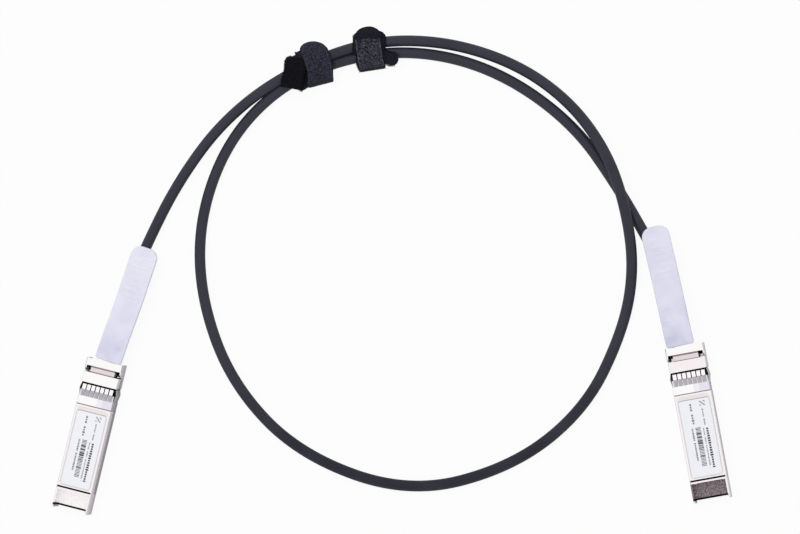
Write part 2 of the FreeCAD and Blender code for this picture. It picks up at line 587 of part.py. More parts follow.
def release_yoke(side):
    """The bent steel slide: bar, side plates, cross strip, and a tongue with two tines."""
    outer = rounded_bar(side + "_yoke_outside", "plate_outer", "yoke_bottom", "yoke_top",
                        "arm_front", "plug_length", "yoke_corner")
    inner = rounded_bar(side + "_yoke_inside", "plate_inner", "yoke_bottom + yoke_sheet",
                        "(yoke_top - yoke_sheet)", "(arm_front - cut_margin)",
                        "plug_length + cut_margin", "yoke_corner - yoke_sheet")
    profile = new_body(side + "_yoke_profile")
    sketch = outline(profile, side + "_yoke_side", "YZ_Plane", [
        ("arm_front", "arm_bottom"), ("lobe_front", "arm_bottom"),
        ("lobe_front", "yoke_bottom"), ("plug_length - yoke_rear_cut", "yoke_bottom"),
        ("plug_length", "yoke_bottom + yoke_rear_cut"), ("plug_length", "yoke_top"),
        ("neck_rear", "yoke_top"), ("neck_rear", "lobe_top"), ("lobe_front", "lobe_top"),
        ("lobe_front", "arm_top"), ("arm_front", "arm_top")])
    plate = pad(profile, sketch, "2 * plate_outer + cut_margin", middle=True)
    front, top = size("lobe_front"), size("lobe_top")
    rounded(profile, plate, "lobe_round", lambda middle, way: abs(way.x) > 0.9
            and math.hypot(middle.y - front, middle.z - top) < 0.01)
    hoop = cut(side + "_yoke_hoop", outer, inner)
    frame = common(side + "_yoke_frame", hoop, profile)

    tongue = box(side + "_yoke_tongue", "-tongue_half", "tine_front", "yoke_bottom",
                 "2 * tongue_half", "lobe_front + yoke_sheet - tine_front", "yoke_sheet")
    tines = new_body(side + "_tines")
    wedge = outline(tines, side + "_tine_side", "YZ_Plane", [
        ("tine_front", "yoke_bottom"), ("tine_front", "yoke_bottom - tine_drop"),
        ("tine_front + tine_length", "yoke_bottom - tine_drop"),
        ("tine_front + tine_length + tine_drop", "yoke_bottom")])
    pad(tines, wedge, "2 * tongue_half", middle=True)
    slot = box(side + "_boss_slot", "-boss_width / 2 - boss_clearance",
               "tine_front - cut_margin", "-cut_margin", "boss_width + 2 * boss_clearance",
               "latch_shoulder + boss_clearance - tine_front + cut_margin",
               "channel_depth + cut_margin")
    forked = cut(side + "_yoke_fork", fuse(side + "_yoke_strip", tongue, tines), slot)

    lugs = []
    plate_width = "pocket_width - 2 * slide_gap"
    root = "(tongue_half - lug_root)"
    reach = f"(channel_width / 2 + pocket_width - slide_gap - {root})"
    for hand, starts in (("left", (f"-{root} - lug_root", f"-{root} - {reach}",
                                   "-channel_width / 2 - pocket_width + slide_gap")),
                         ("right", (root, root, "channel_width / 2 + slide_gap"))):
        lugs.append(box(f"{side}_lug_riser_{hand}", starts[0], "lug_front", "yoke_bottom",
                        "lug_root", "lug_thickness", "channel_depth - slide_gap - yoke_bottom"))
        lugs.append(box(f"{side}_lug_arm_{hand}", starts[1], "lug_front",
                        "pocket_bottom + slide_gap", reach, "lug_thickness",
                        "channel_depth - pocket_bottom - 2 * slide_gap"))
        lugs.append(box(f"{side}_lug_plate_{hand}", starts[2], "lug_front",
                        "pocket_bottom + slide_gap", plate_width, "lug_thickness",
                        "pocket_height - 2 * slide_gap"))
    insert = box(side + "_tab_insert", "-insert_width / 2", "plug_length - yoke_sheet",
                 "insert_bottom", "insert_width",
                 "insert_length + yoke_sheet", "yoke_sheet")
    return fuse(side + "_release_yoke", frame, forked, insert, *lugs)


def release_springs(side):
    """Two coil springs, which push the yoke's lugs forwards from the pockets' rear walls."""
    front = size("lug_front") + size("lug_thickness") + size("spring_end_gap")
    rear = size("pocket_rear") - size("spring_end_gap")
    wire, radius = size("spring_wire"), size("spring_radius")
    length = rear - front - wire
    helix = Part.makeHelix(length / size("spring_turns"), length, radius)
    section = Part.makePolygon([Vector(radius + across * wire / 2, 0, up * wire / 2)
                                for across, up in ((-1, -1), (-1, 1), (1, 1), (1, -1), (-1, -1))])
    coil = Part.Wire(helix).makePipeShell([section], True, True)
    middle = size("channel_width") / 2 + size("pocket_width") / 2
    height = size("pocket_bottom") + size("pocket_height") / 2
    turned = Rotation(Vector(1, 0, 0), -90)
    springs = []
    for x in (-middle, middle):
        spot = Placement(Vector(x, front + wire / 2, height), turned)
        springs.append(coil.transformed(spot.toMatrix()))
    feature = doc.addObject("Part::Feature", side + "_release_springs")
    feature.Shape = Part.makeCompound(springs)
    return feature


def tab_strip(side):
    """The tab seen from the side: level, then an easy bend down, then level on the cable."""
    start, length = size("tab_gap"), size("tab_length")
    bend, run = start + size("tab_bend_start"), size("tab_bend_length")
    drop, thickness, high = size("tab_drop"), size("tab_thickness"), size("tab_bottom")
    radius = (run ** 2 + drop ** 2) / (4 * drop)
    quarter = radius - math.sqrt(radius ** 2 - (run / 4) ** 2)

    def edges(z):
        knee = Vector(0, bend, z)
        middle = Vector(0, bend + run / 2, z - drop / 2)
        foot = Vector(0, bend + run, z - drop)
        upper = Vector(0, bend + run / 4, z - quarter)
        lower = Vector(0, bend + 3 * run / 4, z - drop + quarter)
        return [Part.LineSegment(Vector(0, start, z), knee).toShape(),
                Part.Arc(knee, upper, middle).toShape(), Part.Arc(middle, lower, foot).toShape(),
                Part.LineSegment(foot, Vector(0, start + length, z - drop)).toShape()]

    under, over = edges(high), edges(high + thickness)
    far = Part.makeLine(under[-1].Vertexes[-1].Point, over[-1].Vertexes[-1].Point)
    near = Part.makeLine(over[0].Vertexes[0].Point, under[0].Vertexes[0].Point)
    wire = Part.Wire(Part.sortEdges(under + [far] + over + [near])[0])
    face = Part.Face(wire)
    strip = doc.addObject("Part::Feature", side + "_tab_strip")
    strip.Shape = face.extrude(Vector(size("tab_width"), 0, 0))
    strip.Placement = Placement(Vector(-size("tab_width") / 2, 0, 0), Rotation())
    return strip


def pull_tab(side):
    """The moulded tab: rounded far corners, grip ribs, and a slot over the yoke's insert."""
    plan = new_body(side + "_tab_plan")
    sketch = outline(plan, side + "_tab_outline", "XY_Plane", rectangle(
        "-tab_width / 2", "tab_width / 2", "tab_gap", "tab_gap + tab_length"))
    block = pad(plan, sketch, "tab_bottom + 2 * tab_thickness")
    middle = size("tab_gap") + size("tab_length") / 2
    far = rounded(plan, block, "tab_end_round",
                  lambda point, way: abs(way.z) > 0.9 and point.y > middle)
    rounded(plan, far, "tab_near_round",
            lambda point, way: abs(way.z) > 0.9 and point.y < size("tab_gap") + 0.01)
    level = common(side + "_tab_level", tab_strip(side), plan)
    ribs = [box(side + "_tab_rib", "-rib_width / 2",
                f"tab_gap + tab_length - rib_end - rib_length - {place_no} * rib_pitch",
                "tab_bottom - tab_drop + tab_thickness / 2", "rib_width", "rib_length",
                "tab_thickness / 2 + rib_height")
            for place_no in range(int(size("rib_count")))]
    form = fuse(side + "_tab_form", level, *ribs)
    form.Placement = Placement(Vector(), Rotation(Vector(0, 0, 1), 1))
    corner(form, side + "_tab_shift", "plug_length", "0")
    bind(form, Placement__Rotation__Angle="-" + side + "_tab_swing")
    slot = box(side + "_tab_slot", "-insert_width / 2 - insert_fit",
               "plug_length - cut_margin",
               "insert_bottom - insert_fit",
               "insert_width + 2 * insert_fit", "cut_margin + insert_length + insert_fit",
               "yoke_sheet + 2 * insert_fit")
    relief = box(side + "_bar_relief", "-half_width", "plug_length - 2 * cut_margin", "0",
                 "plug_width", "2 * cut_margin + tab_gap", "plug_height + cut_margin")
    return cut(side + "_pull_tab", form, slot, relief)


def label(side):
    """The printed label, with round corners, flush in its recess."""
    body = new_body(side + "_label")
    sketch = outline(body, side + "_label_outline", "XY_Plane", rectangle(
        "-label_width / 2", "label_width / 2", "label_front", "label_front + label_length"))
    bind(sketch, AttachmentOffset__Base__z="plug_height - label_thickness")
    sheet = pad(body, sketch, "label_thickness")
    rounded(body, sheet, "label_round", lambda middle, way: abs(way.z) > 0.9)
    return body


def build_plug(side):
    """All of one plug's pieces, each laid in place; returns them as the sub-parts."""
    section = plug_section(side)
    groove = collar_groove(side)
    seat = ferrule_seat(side)
    pieces = [lower_shell(side, section, groove, seat), upper_cover(side, section, groove, seat),
              emi_collar(side), circuit_board(side), contact_pads(side), board_parts(side),
              twinax_cores(side), shell_screws(side), release_yoke(side),
              release_springs(side), pull_tab(side), label(side)]
    for piece in pieces:
        place(piece, side)
    ferrule = crimp_ferrule(side)
    place(ferrule, side, "split_height")
    return pieces + [ferrule]


# The cable's route, from one plug's ferrule to the other's: out of the left plug, up and
# over the top of the loop, over its own other run, round, and back to the right plug.

LEVEL = 2.1
ROUTE = [
    plug_point("left", size("cavity_rear"), size("split_height")),
    plug_point("left", size("exit_near"), size("split_height")),
    plug_point("left", size("exit_far"), LEVEL),
    Vector(-90.5, 9.5, LEVEL), Vector(-78.5, 33, LEVEL), Vector(-61.5, 55.5, LEVEL),
    Vector(-38.5, 72.5, 3.6), Vector(-9, 84, 3.6), Vector(19, 85.5, LEVEL),
    Vector(46, 76, LEVEL), Vector(66.5, 61.5, 2.3), Vector(80.5, 42.5, 5.6),
    Vector(87.5, 22, 6.9), Vector(90, 0, 3.2), Vector(85.5, -22, LEVEL),
    Vector(71.5, -49.5, LEVEL), Vector(45.5, -71, LEVEL), Vector(7.5, -82, LEVEL),
    Vector(-33, -68, LEVEL), Vector(-58, -41.5, LEVEL), Vector(-70, -10, LEVEL),
    Vector(-70.5, 20, LEVEL), Vector(-59, 49, LEVEL), Vector(-37, 69, 3.6),
    Vector(-8.5, 80, 3.6), Vector(18.5, 79.5, LEVEL), Vector(44.5, 71, LEVEL),
    Vector(68.5, 52.5, LEVEL), Vector(84, 30, LEVEL), Vector(96.5, 8, LEVEL),
    plug_point("right", size("exit_far"), LEVEL),
    plug_point("right", size("exit_near"), size("split_height")),
    plug_point("right", size("cavity_rear"), size("split_height")),
]
ARC_SHARE = 0.45


def cable():
    """The round jacketed cable: straight runs joined by arcs as large as the runs allow."""
    radius = size("cable_radius")
    edges, here = [], ROUTE[0]
    for before, bend, after in zip(ROUTE, ROUTE[1:], ROUTE[2:]):
        back, on = (before - bend).normalize(), (after - bend).normalize()
        reach = ARC_SHARE * min(before.distanceToPoint(bend), after.distanceToPoint(bend))
        half_turn = (math.pi - back.getAngle(on)) / 2
        bend_radius = reach / math.tan(half_turn)
        inward = (back + on).normalize()
        top = bend + inward * (math.hypot(reach, bend_radius) - bend_radius)
        start, end = bend + back * reach, bend + on * reach
        edges.append(Part.LineSegment(here, start).toShape())
        edges.append(Part.Arc(start, top, end).toShape())
        here = end
        print("bend radius %.1f mm, turn %.1f degrees" % (bend_radius, math.degrees(2 * half_turn)))
    edges.append(Part.LineSegment(here, ROUTE[-1]).toShape())
    path = Part.Wire(edges)
    ring = Part.makeCircle(radius, ROUTE[0], ROUTE[1] - ROUTE[0])
    tube = path.makePipeShell([Part.Wire(ring)], True, False)
    expected = math.pi * radius ** 2 * path.Length
    print("cable length %.1f mm, volume %.1f of %.1f mm3" % (path.Length, tube.Volume, expected))
    feature = doc.addObject("Part::Feature", "cable")
    feature.Shape = tube
    return feature


def strap_ring(name, tongue, width):
    """A strap round both runs: flat underneath, folded on one side, with or without a tongue."""
    bundle = "(run_spacing / 2 + cable_radius)"
    wall = f"({bundle} + tie_side_gap)"
    ceiling = "(tie_cable_height + cable_radius + tie_roof_gap)"
    roof = f"({ceiling} + tie_sheet)"
    fold = f"({bundle} + tie_fold)"
    outer = new_body(name + "_outside")
    skirt = f"({wall} + tie_sheet)"
    points = [(f"-{fold}", "0"), (wall, "0"), (skirt, "tie_sheet")]
    if tongue:
        end = f"({bundle} + {tongue})"
        points += [(skirt, "tongue_height - tie_sheet"), (end, "tongue_height - tie_sheet"),
                   (end, "tongue_height")]
    points += [(skirt, f"{ceiling} - tie_bevel"), (f"{wall} - tie_bevel", roof),
               (f"-{wall} + tie_bevel", roof), (f"-{wall} - tie_bevel / 2", "tie_cable_height"),
               (f"-{fold}", "2 * tie_sheet")]
    section = outline(outer, name + "_outside_section", "YZ_Plane", points)
    pad(outer, section, width, middle=True)
    inner = new_body(name + "_inside")
    hollow = outline(inner, name + "_inside_section", "YZ_Plane", [
        (f"-{wall}", "tie_sheet"), (wall, "tie_sheet"), (wall, f"{ceiling} - tie_bevel"),
        (f"{wall} - tie_bevel", ceiling), (f"-{wall} + tie_bevel", ceiling),
        (f"-{wall}", f"{ceiling} - tie_bevel")])
    pad(inner, hollow, f"{width} + 2 * cut_margin", middle=True)
    return outer, inner


def strap_plan(name, width, tongue, radius):
    """The strap from above, with the tongue's end rounded."""
    body = new_body(name + "_plan")
    fold = "(run_spacing / 2 + cable_radius + tie_fold)"
    end = f"(run_spacing / 2 + cable_radius + {tongue})"
    sketch = outline(body, name + "_outline", "XY_Plane", rectangle(
        f"-{width} / 2", f"{width} / 2", f"-{fold}", end))
    block = pad(body, sketch, "tie_cable_height + 2 * cable_radius")
    rounded(body, block, radius, lambda middle, way: abs(way.z) > 0.9 and middle.y > 0)
    return body


def lay_tie(thing, side):
    thing.Placement = Placement(Vector(), Rotation(Vector(0, 0, 1), 1))
    corner(thing, side + "_tie_x", side + "_tie_y", "0")
    bind(thing, Placement__Rotation__Angle=side + "_tie_turn")
    return thing


def left_tie():
    """A hook-and-loop strap wound twice: the second turn shows at a slant beside the first."""
    outer, inner = strap_ring("left_strap", "left_tie_tongue", "left_tie_width")
    first = common("left_strap_band", outer, strap_plan(
        "left_strap", "left_tie_width", "left_tie_tongue", "left_tie_round"))
    turn, gap = strap_ring("left_second_turn", "", "second_turn_width")
    for piece in (turn, gap):
        piece.Placement = Placement(Vector(), Rotation(Vector(0, 0, 1), 1))
        corner(piece, "-second_turn_offset", "-second_turn_offset * sin(second_turn_angle) / 2",
               "0")
        bind(piece, Placement__Rotation__Angle="second_turn_angle")
    tie = cut("left_tie", fuse("left_strap_turns", first, turn), inner, gap)
    return lay_tie(tie, "left")


def right_tie():
    """A hook-and-loop strap wound once, with its tail lying flat beside it."""
    outer, inner = strap_ring("right_strap", "right_tie_tongue", "right_tie_width")
    band = common("right_strap_band", outer, strap_plan(
        "right_strap", "right_tie_width", "right_tie_tongue", "right_tie_round"))
    tail = box("right_strap_tail", "right_tie_width / 2 - cut_margin", "-tail_edge", "0",
               "tail_length + cut_margin", "tail_width", "tail_thickness")
    tie = cut("right_tie", fuse("right_strap_whole", band, tail), inner)
    return lay_tie(tie, "right")


subparts = build_plug("left") + build_plug("right") + [cable(), left_tie(), right_tie()]
doc.recompute()

failed = [thing.Name for thing in doc.Objects
          if "Invalid" in thing.State or "Error" in thing.State]
if failed:
    raise RuntimeError("these did not build: " + ", ".join(failed))
os.makedirs("parts", exist_ok=True)
for piece in subparts:
    piece.Label = piece.Name
    if piece.Shape.isNull() or not piece.Shape.isValid():
        raise RuntimeError(piece.Label + " has no valid shape")
for piece in subparts:
    piece.Shape.exportStep("parts/%s.step" % piece.Label)
    print("%-24s %2d solids %10.2f mm3" % (piece.Label, len(piece.Shape.Solids),
                                            piece.Shape.Volume))
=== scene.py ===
import math
import random

import bmesh
import bpy
from mathutils import Matrix, Vector, noise


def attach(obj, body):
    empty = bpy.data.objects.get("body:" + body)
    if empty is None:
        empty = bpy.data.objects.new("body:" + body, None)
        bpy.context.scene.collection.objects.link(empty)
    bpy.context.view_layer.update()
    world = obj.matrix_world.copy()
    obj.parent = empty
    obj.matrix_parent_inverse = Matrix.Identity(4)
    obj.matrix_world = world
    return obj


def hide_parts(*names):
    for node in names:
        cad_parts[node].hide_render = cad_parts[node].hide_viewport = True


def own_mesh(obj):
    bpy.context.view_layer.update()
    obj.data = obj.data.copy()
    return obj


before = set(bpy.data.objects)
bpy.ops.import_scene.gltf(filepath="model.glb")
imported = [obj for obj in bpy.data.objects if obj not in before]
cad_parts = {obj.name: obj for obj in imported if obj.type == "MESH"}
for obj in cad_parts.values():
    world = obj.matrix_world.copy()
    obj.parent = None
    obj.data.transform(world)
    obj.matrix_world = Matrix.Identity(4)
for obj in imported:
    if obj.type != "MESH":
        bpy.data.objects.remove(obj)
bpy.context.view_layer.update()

MM = 0.001


# ---- The table, the lamps and the camera ----
# The cable lies on a plain white table under one broad soft lamp, and is seen from above,
# from a little right of its middle.

class Socket:
    """One output of a node. Sums that are written with it become Math nodes."""

    def __init__(self, finish, socket):
        self.finish = finish
        self.socket = socket

    def __add__(self, other):
        return self.finish.math("ADD", self, other)

    def __sub__(self, other):
        return self.finish.math("SUBTRACT", self, other)

    def __rsub__(self, other):
        return self.finish.math("SUBTRACT", other, self)

    def __mul__(self, other):
        return self.finish.math("MULTIPLY", self, other)

    def __truediv__(self, other):
        return self.finish.math("DIVIDE", self, other)

    def __lt__(self, other):
        return self.finish.math("LESS_THAN", self, other)

    def __gt__(self, other):
        return self.finish.math("GREATER_THAN", self, other)

    def __abs__(self):
        return self.finish.math("ABSOLUTE", self)

    __radd__, __rmul__ = __add__, __mul__


class Finish:
    """A material, or the world, whose nodes are added one at a time."""

    def __init__(self, owner):
        owner.use_nodes = True
        self.owner = owner
        self.tree = owner.node_tree
        self.tree.nodes.clear()

    def node(self, kind, settings, sockets):
        """Adds a node: first its settings, then the value or the link of each socket."""
        node = self.tree.nodes.new("ShaderNode" + kind)
        for name, value in settings.items():
            if name == "stops":
                ramp = node.color_ramp.elements
                while len(ramp) < len(value):
                    ramp.new(0.5)
                for element, (position, colour) in zip(ramp, value):
                    element.position = position
                    element.color = (*colour, 1)
            else:
                setattr(node, name, value)
        for key, value in sockets.items():
            if isinstance(value, Socket):
                self.tree.links.new(value.socket, node.inputs[key])
            elif node.inputs[key].type == "RGBA":
                node.inputs[key].default_value = (*value, 1)
            else:
                node.inputs[key].default_value = value
        return [Socket(self, output) for output in node.outputs]

    def math(self, operation, *terms):
        return self.node("Math", {"operation": operation}, dict(enumerate(terms)))[0]

    def places(self):
        """Places in the piece's own frame, in metres."""
        return self.node("TexCoord", {}, {})[3]

    def split(self, place):
        """The three parts of a place."""
        return self.node("SeparateXYZ", {}, {0: place})

    def noise(self, place, scale, detail, roughness=0.5):
        """Soft noise about 0.5."""
        return self.node("TexNoise", {}, {"Vector": place, "Scale": scale, "Detail": detail,
                                          "Roughness": roughness})[0]

    def ramp(self, value, *stops):
        """The colour at value along stops, each a position and a colour."""
        return self.node("ValToRGB", {"stops": stops}, {0: value})[0]

    def mix(self, share, ground, over):
        """Two colours, with that share of the one that lies over the other."""
        return self.node("Mix", {"data_type": "RGBA"}, {0: share, 6: ground, 7: over})[2]

    def bump(self, height, strength, distance):
        """Relief whose full height is distance, in millimetres."""
        return self.node("Bump", {}, {"Strength": strength, "Distance": distance * MM,
                                      "Height": height})[0]

    def skin(self, sockets):
        """Ends the material with one shader, and returns it."""
        body = self.node("BsdfPrincipled", {}, sockets)[0]
        self.node("OutputMaterial", {}, {"Surface": body})
        return self.owner


def studio():
    """The table and the world: white to the eye and in reflections, plain light elsewhere."""
    table_size, table_drop = 6.0, 0.2 * MM
    table_colour, table_shadow = (0.82, 0.82, 0.83), 0.07
    mesh = bpy.data.meshes.new("table")
    half = table_size / 2
    mesh.from_pydata([(-half, -half, -table_drop), (half, -half, -table_drop),
                      (half, half, -table_drop), (-half, half, -table_drop)],
                     [], [(0, 1, 2, 3)])
    table = bpy.data.objects.new("table", mesh)
    bpy.context.scene.collection.objects.link(table)
    top = Finish(bpy.data.materials.new("table_top"))
    seen = top.node("LightPath", {}, {})[0]
    matte = top.node("BsdfDiffuse", {}, {"Color": table_colour})[0]
    white = top.node("Emission", {}, {"Color": (1, 1, 1), "Strength": 1.0})[0]
    both = top.node("MixShader", {}, {0: seen * (1 - table_shadow), 1: matte, 2: white})[0]
    top.node("OutputMaterial", {}, {"Surface": both})
    mesh.materials.append(top.owner)

    sky_light = 0.42
    world = bpy.data.worlds.new("studio")
    bpy.context.scene.world = world
    sky = Finish(world)
    seen, _, _, mirrored, _, _, let_through = sky.node("LightPath", {}, {})[:7]
    shown = sky.math("MAXIMUM", sky.math("MAXIMUM", seen, mirrored), let_through)
    strength = sky_light + shown * (1 - sky_light)
    dome = sky.node("Background", {}, {"Color": (1, 1, 1), "Strength": strength})[0]
    sky.node("OutputWorld", {}, {"Surface": dome})


def lamp(name, place, aim, size, power):
    """A square soft lamp."""
    light = bpy.data.lights.new(name, "AREA")
    light.shape = "SQUARE"
    light.size = size
    light.energy = power
    holder = bpy.data.objects.new(name, light)
    bpy.context.scene.collection.objects.link(holder)
    holder.location = place
    holder.rotation_mode = "QUATERNION"
    holder.rotation_quaternion = (Vector(aim) - Vector(place)).to_track_quat("-Z", "Y")
    return holder


studio()
overhead = lamp("overhead_lamp", (-0.15, 0.35, 1.5), (0, 0, 0), 1.0, 14.0)
overhead.visible_glossy = False

camera_place = Vector((0.24, -0.03, 1.5))
view_middle, view_width = Vector((4.5 * MM, 1.3 * MM, 4 * MM)), 0.2915
camera = bpy.data.objects.new("camera", bpy.data.cameras.new("camera"))
bpy.context.scene.collection.objects.link(camera)
bpy.context.scene.camera = camera
camera.location = camera_place
sight = view_middle - camera_place
aim = (-sight).normalized()
right = Vector((aim.z, 0, -aim.x)).normalized()
camera.rotation_euler = Matrix((right, aim.cross(right), aim)).transposed().to_euler()
camera.data.lens = camera.data.sensor_width * sight.length / view_width
bpy.context.scene.view_settings.view_transform = "Standard"


# ---- The cable ----
# Twin-axial copper pairs under one round extruded PVC jacket, 4 mm thick, satin charcoal.
# It runs from one module's ferrule to the other's, and lies in a loop over its own run.

MODULES = {"left": (-118 * MM, -88 * MM, 13.7), "right": (118.5 * MM, -83 * MM, -10.4)}


def in_module(side, across, along, height):
    """A place in one module's own millimetres, from its host end, as a point in the frame."""
    x, y, lean = MODULES[side]
    turned = Matrix.Rotation(-math.radians(lean), 3, "Z") @ Vector((across, along, height))
    return Vector((x, y, 0)) + turned * MM


def cable():
    """The jacket: a spline from inside one ferrule to inside the other."""
    diameter, level, exit_height = 4.0 * MM, 2.1, 4.9
    ferrule_front, ferrule_rear, straight_end, landing = 43, 51.6, 61, 79
    lying = [
        (-90.5, 9.5, level), (-78.5, 33, level), (-61.5, 55.3, 3.0), (-38.5, 72.05, 4.1),
        (-9, 83.65, 4.0), (19, 84.05, 2.4), (46, 75.8, level), (66.5, 61.4, 2.3),
        (80.5, 42.5, 5.6), (87.5, 22, 6.9), (90, 0, 3.2), (85.8, -22.1, level),
        (72.2, -50.3, level), (45.7, -71.4, level), (7.5, -81.4, level), (-33.0, -67.3, level),
        (-58.1, -41.6, level), (-70, -10, level), (-70.5, 20, level), (-59.2, 49.3, level),
        (-37.4, 70.1, 2.5), (-8.5, 79.7, 3.0), (18.5, 79.45, level), (44.5, 70.3, level),
        (68.5, 52.3, level), (84, 30.1, level), (96.5, 8, level)]
    route = [in_module("left", 0, ferrule_front, exit_height),
             in_module("left", 0, straight_end, exit_height),
             in_module("left", 0, landing, level)]
    route += [Vector(point) * MM for point in lying]
    route += [in_module("right", 0, landing, level),
              in_module("right", 0, straight_end, exit_height),
              in_module("right", 0, ferrule_front, exit_height)]
    curve = bpy.data.curves.new("cable_line", "CURVE")
    curve.dimensions = "3D"
    curve.bevel_depth = 1.0
    curve.bevel_resolution = 7
    curve.resolution_u = 16
    curve.use_fill_caps = True
    spline = curve.splines.new("NURBS")
    spline.points.add(len(route) - 1)
    for point, place in zip(spline.points, route):
        point.co = (*place, 1)
        point.radius = diameter / 2
    spline.order_u = 3
    spline.use_endpoint_u = True
    piece = bpy.data.objects.new("cable_jacket", curve)
    bpy.context.scene.collection.objects.link(piece)
    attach(piece, "cable_and_modules")
    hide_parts("cable")
    return piece


def jacket_finish():
    """Satin charcoal PVC: faint clouds and a fine grain, and painted shade that darkens the near
    run.
    """
    jacket = Finish(bpy.data.materials.new("charcoal_jacket"))
    place = jacket.places()
    cloud, grain = jacket.noise(place, 60.0, 3.0), jacket.noise(place, 2600.0, 2.0)
    _, away, _ = jacket.split(place)
    # painted shade: the runs on the near side of the view are darkened, as if less lit
    painted_near_shade = jacket.math("MAXIMUM", away * -12.0 - 0.36, 0.0)
    painted_near_shade = jacket.math("MINIMUM", painted_near_shade, 0.4)
    shade = jacket.ramp(cloud - painted_near_shade, (0.0, (0.005, 0.005, 0.014)),
                        (0.3, (0.017, 0.017, 0.029)), (0.7, (0.027, 0.027, 0.042)))
    return jacket.skin({"Base Color": shade, "Roughness": 0.42 + cloud * 0.16,
                        "Specular IOR Level": 0.35, "Normal": jacket.bump(grain, 0.25, 0.03)})


cable().data.materials.append(jacket_finish())


# ---- The ties ----
# Woven nylon hook-and-loop straps. The loop side has a speckled nap of tiny loops, the hook
# side is matt black. The left one goes round the two runs twice, the right one once.

TIES = {"left": (-26.8, 75.2, 13.0), "right": (-7.5, 80.4, 7.5)}


def smooth_run(corners, step):
    """Evenly spaced points along a smooth line through corners, and its whole length."""
    fine = []
    padded = [2 * corners[0] - corners[1], *corners, 2 * corners[-1] - corners[-2]]
    for before, start, end, after in zip(padded, padded[1:], padded[2:], padded[3:]):
        for part in range(24):
            t = part / 24
            fine.append(start + (end - before) * t / 2
                        + (before * 2 - start * 5 + end * 4 - after) * t * t / 2
                        + (start * 3 - before - end * 3 + after) * t ** 3 / 2)
    fine.append(corners[-1])
    reached = [0.0]
    for here, there in zip(fine, fine[1:]):
        reached.append(reached[-1] + (there - here).length)
    points, spot = [], 0
    count = int(reached[-1] / step)
    for number in range(count + 1):
        wanted = reached[-1] * number / count
        while spot < len(fine) - 2 and reached[spot + 1] < wanted:
            spot += 1
        gap = reached[spot + 1] - reached[spot]
        points.append(fine[spot].lerp(fine[spot + 1], (wanted - reached[spot]) / gap))
    return points, reached[-1]


def sew(mesh, top, under):
    """Makes one closed sheet of two grids of points: both faces, then the edge between."""
    for grid in (top, under):
        for low, high in zip(grid, grid[1:]):
            for number in range(len(low) - 1):
                ring = [low[number], low[number + 1], high[number + 1], high[number]]
                mesh.faces.new(ring if grid is top else reversed(ring))
    border, below = ([line[0] for line in grid[::-1]] + grid[0][1:]
                     + [line[-1] for line in grid[1:]] + grid[-1][-2:0:-1]
                     for grid in (top, under))
    for number in range(len(border)):
        after = (number + 1) % len(border)
        mesh.faces.new((border[number], below[number], below[after], border[after]))
    bmesh.ops.remove_doubles(mesh, verts=mesh.verts[:], dist=0.0005)


def smooth_piece(name, mesh):
    """Turns a finished mesh into a smooth object of that name."""
    shape = bpy.data.meshes.new(name)
    mesh.to_mesh(shape)
    mesh.free()
    for face in shape.polygons:
        face.use_smooth = True
    piece = bpy.data.objects.new(name, shape)
    bpy.context.scene.collection.objects.link(piece)
    return piece


def draped(offset, turn, spot, lean, flat, reach, low, top):
    """Height of a strap that is laid on the cable, over places in the strap's own frame.

    The cable passes through spot and leans by lean, as seen from the tie. The strap is level
    at top to a distance of flat from the cable's middle, and comes down to low within reach.
    """
    turn, lean = math.radians(turn), math.radians(lean)

    def height(x, y):
        across = offset[0] + math.cos(turn) * x - math.sin(turn) * y - spot[0]
        along = offset[1] + math.sin(turn) * x + math.cos(turn) * y - spot[1]
        out = max(abs(along * math.cos(lean) - across * math.sin(lean)) - flat, 0.0)
        return low + (top - low) * math.sqrt(max(1 - (out / reach) ** 2, 0.01))

    return height


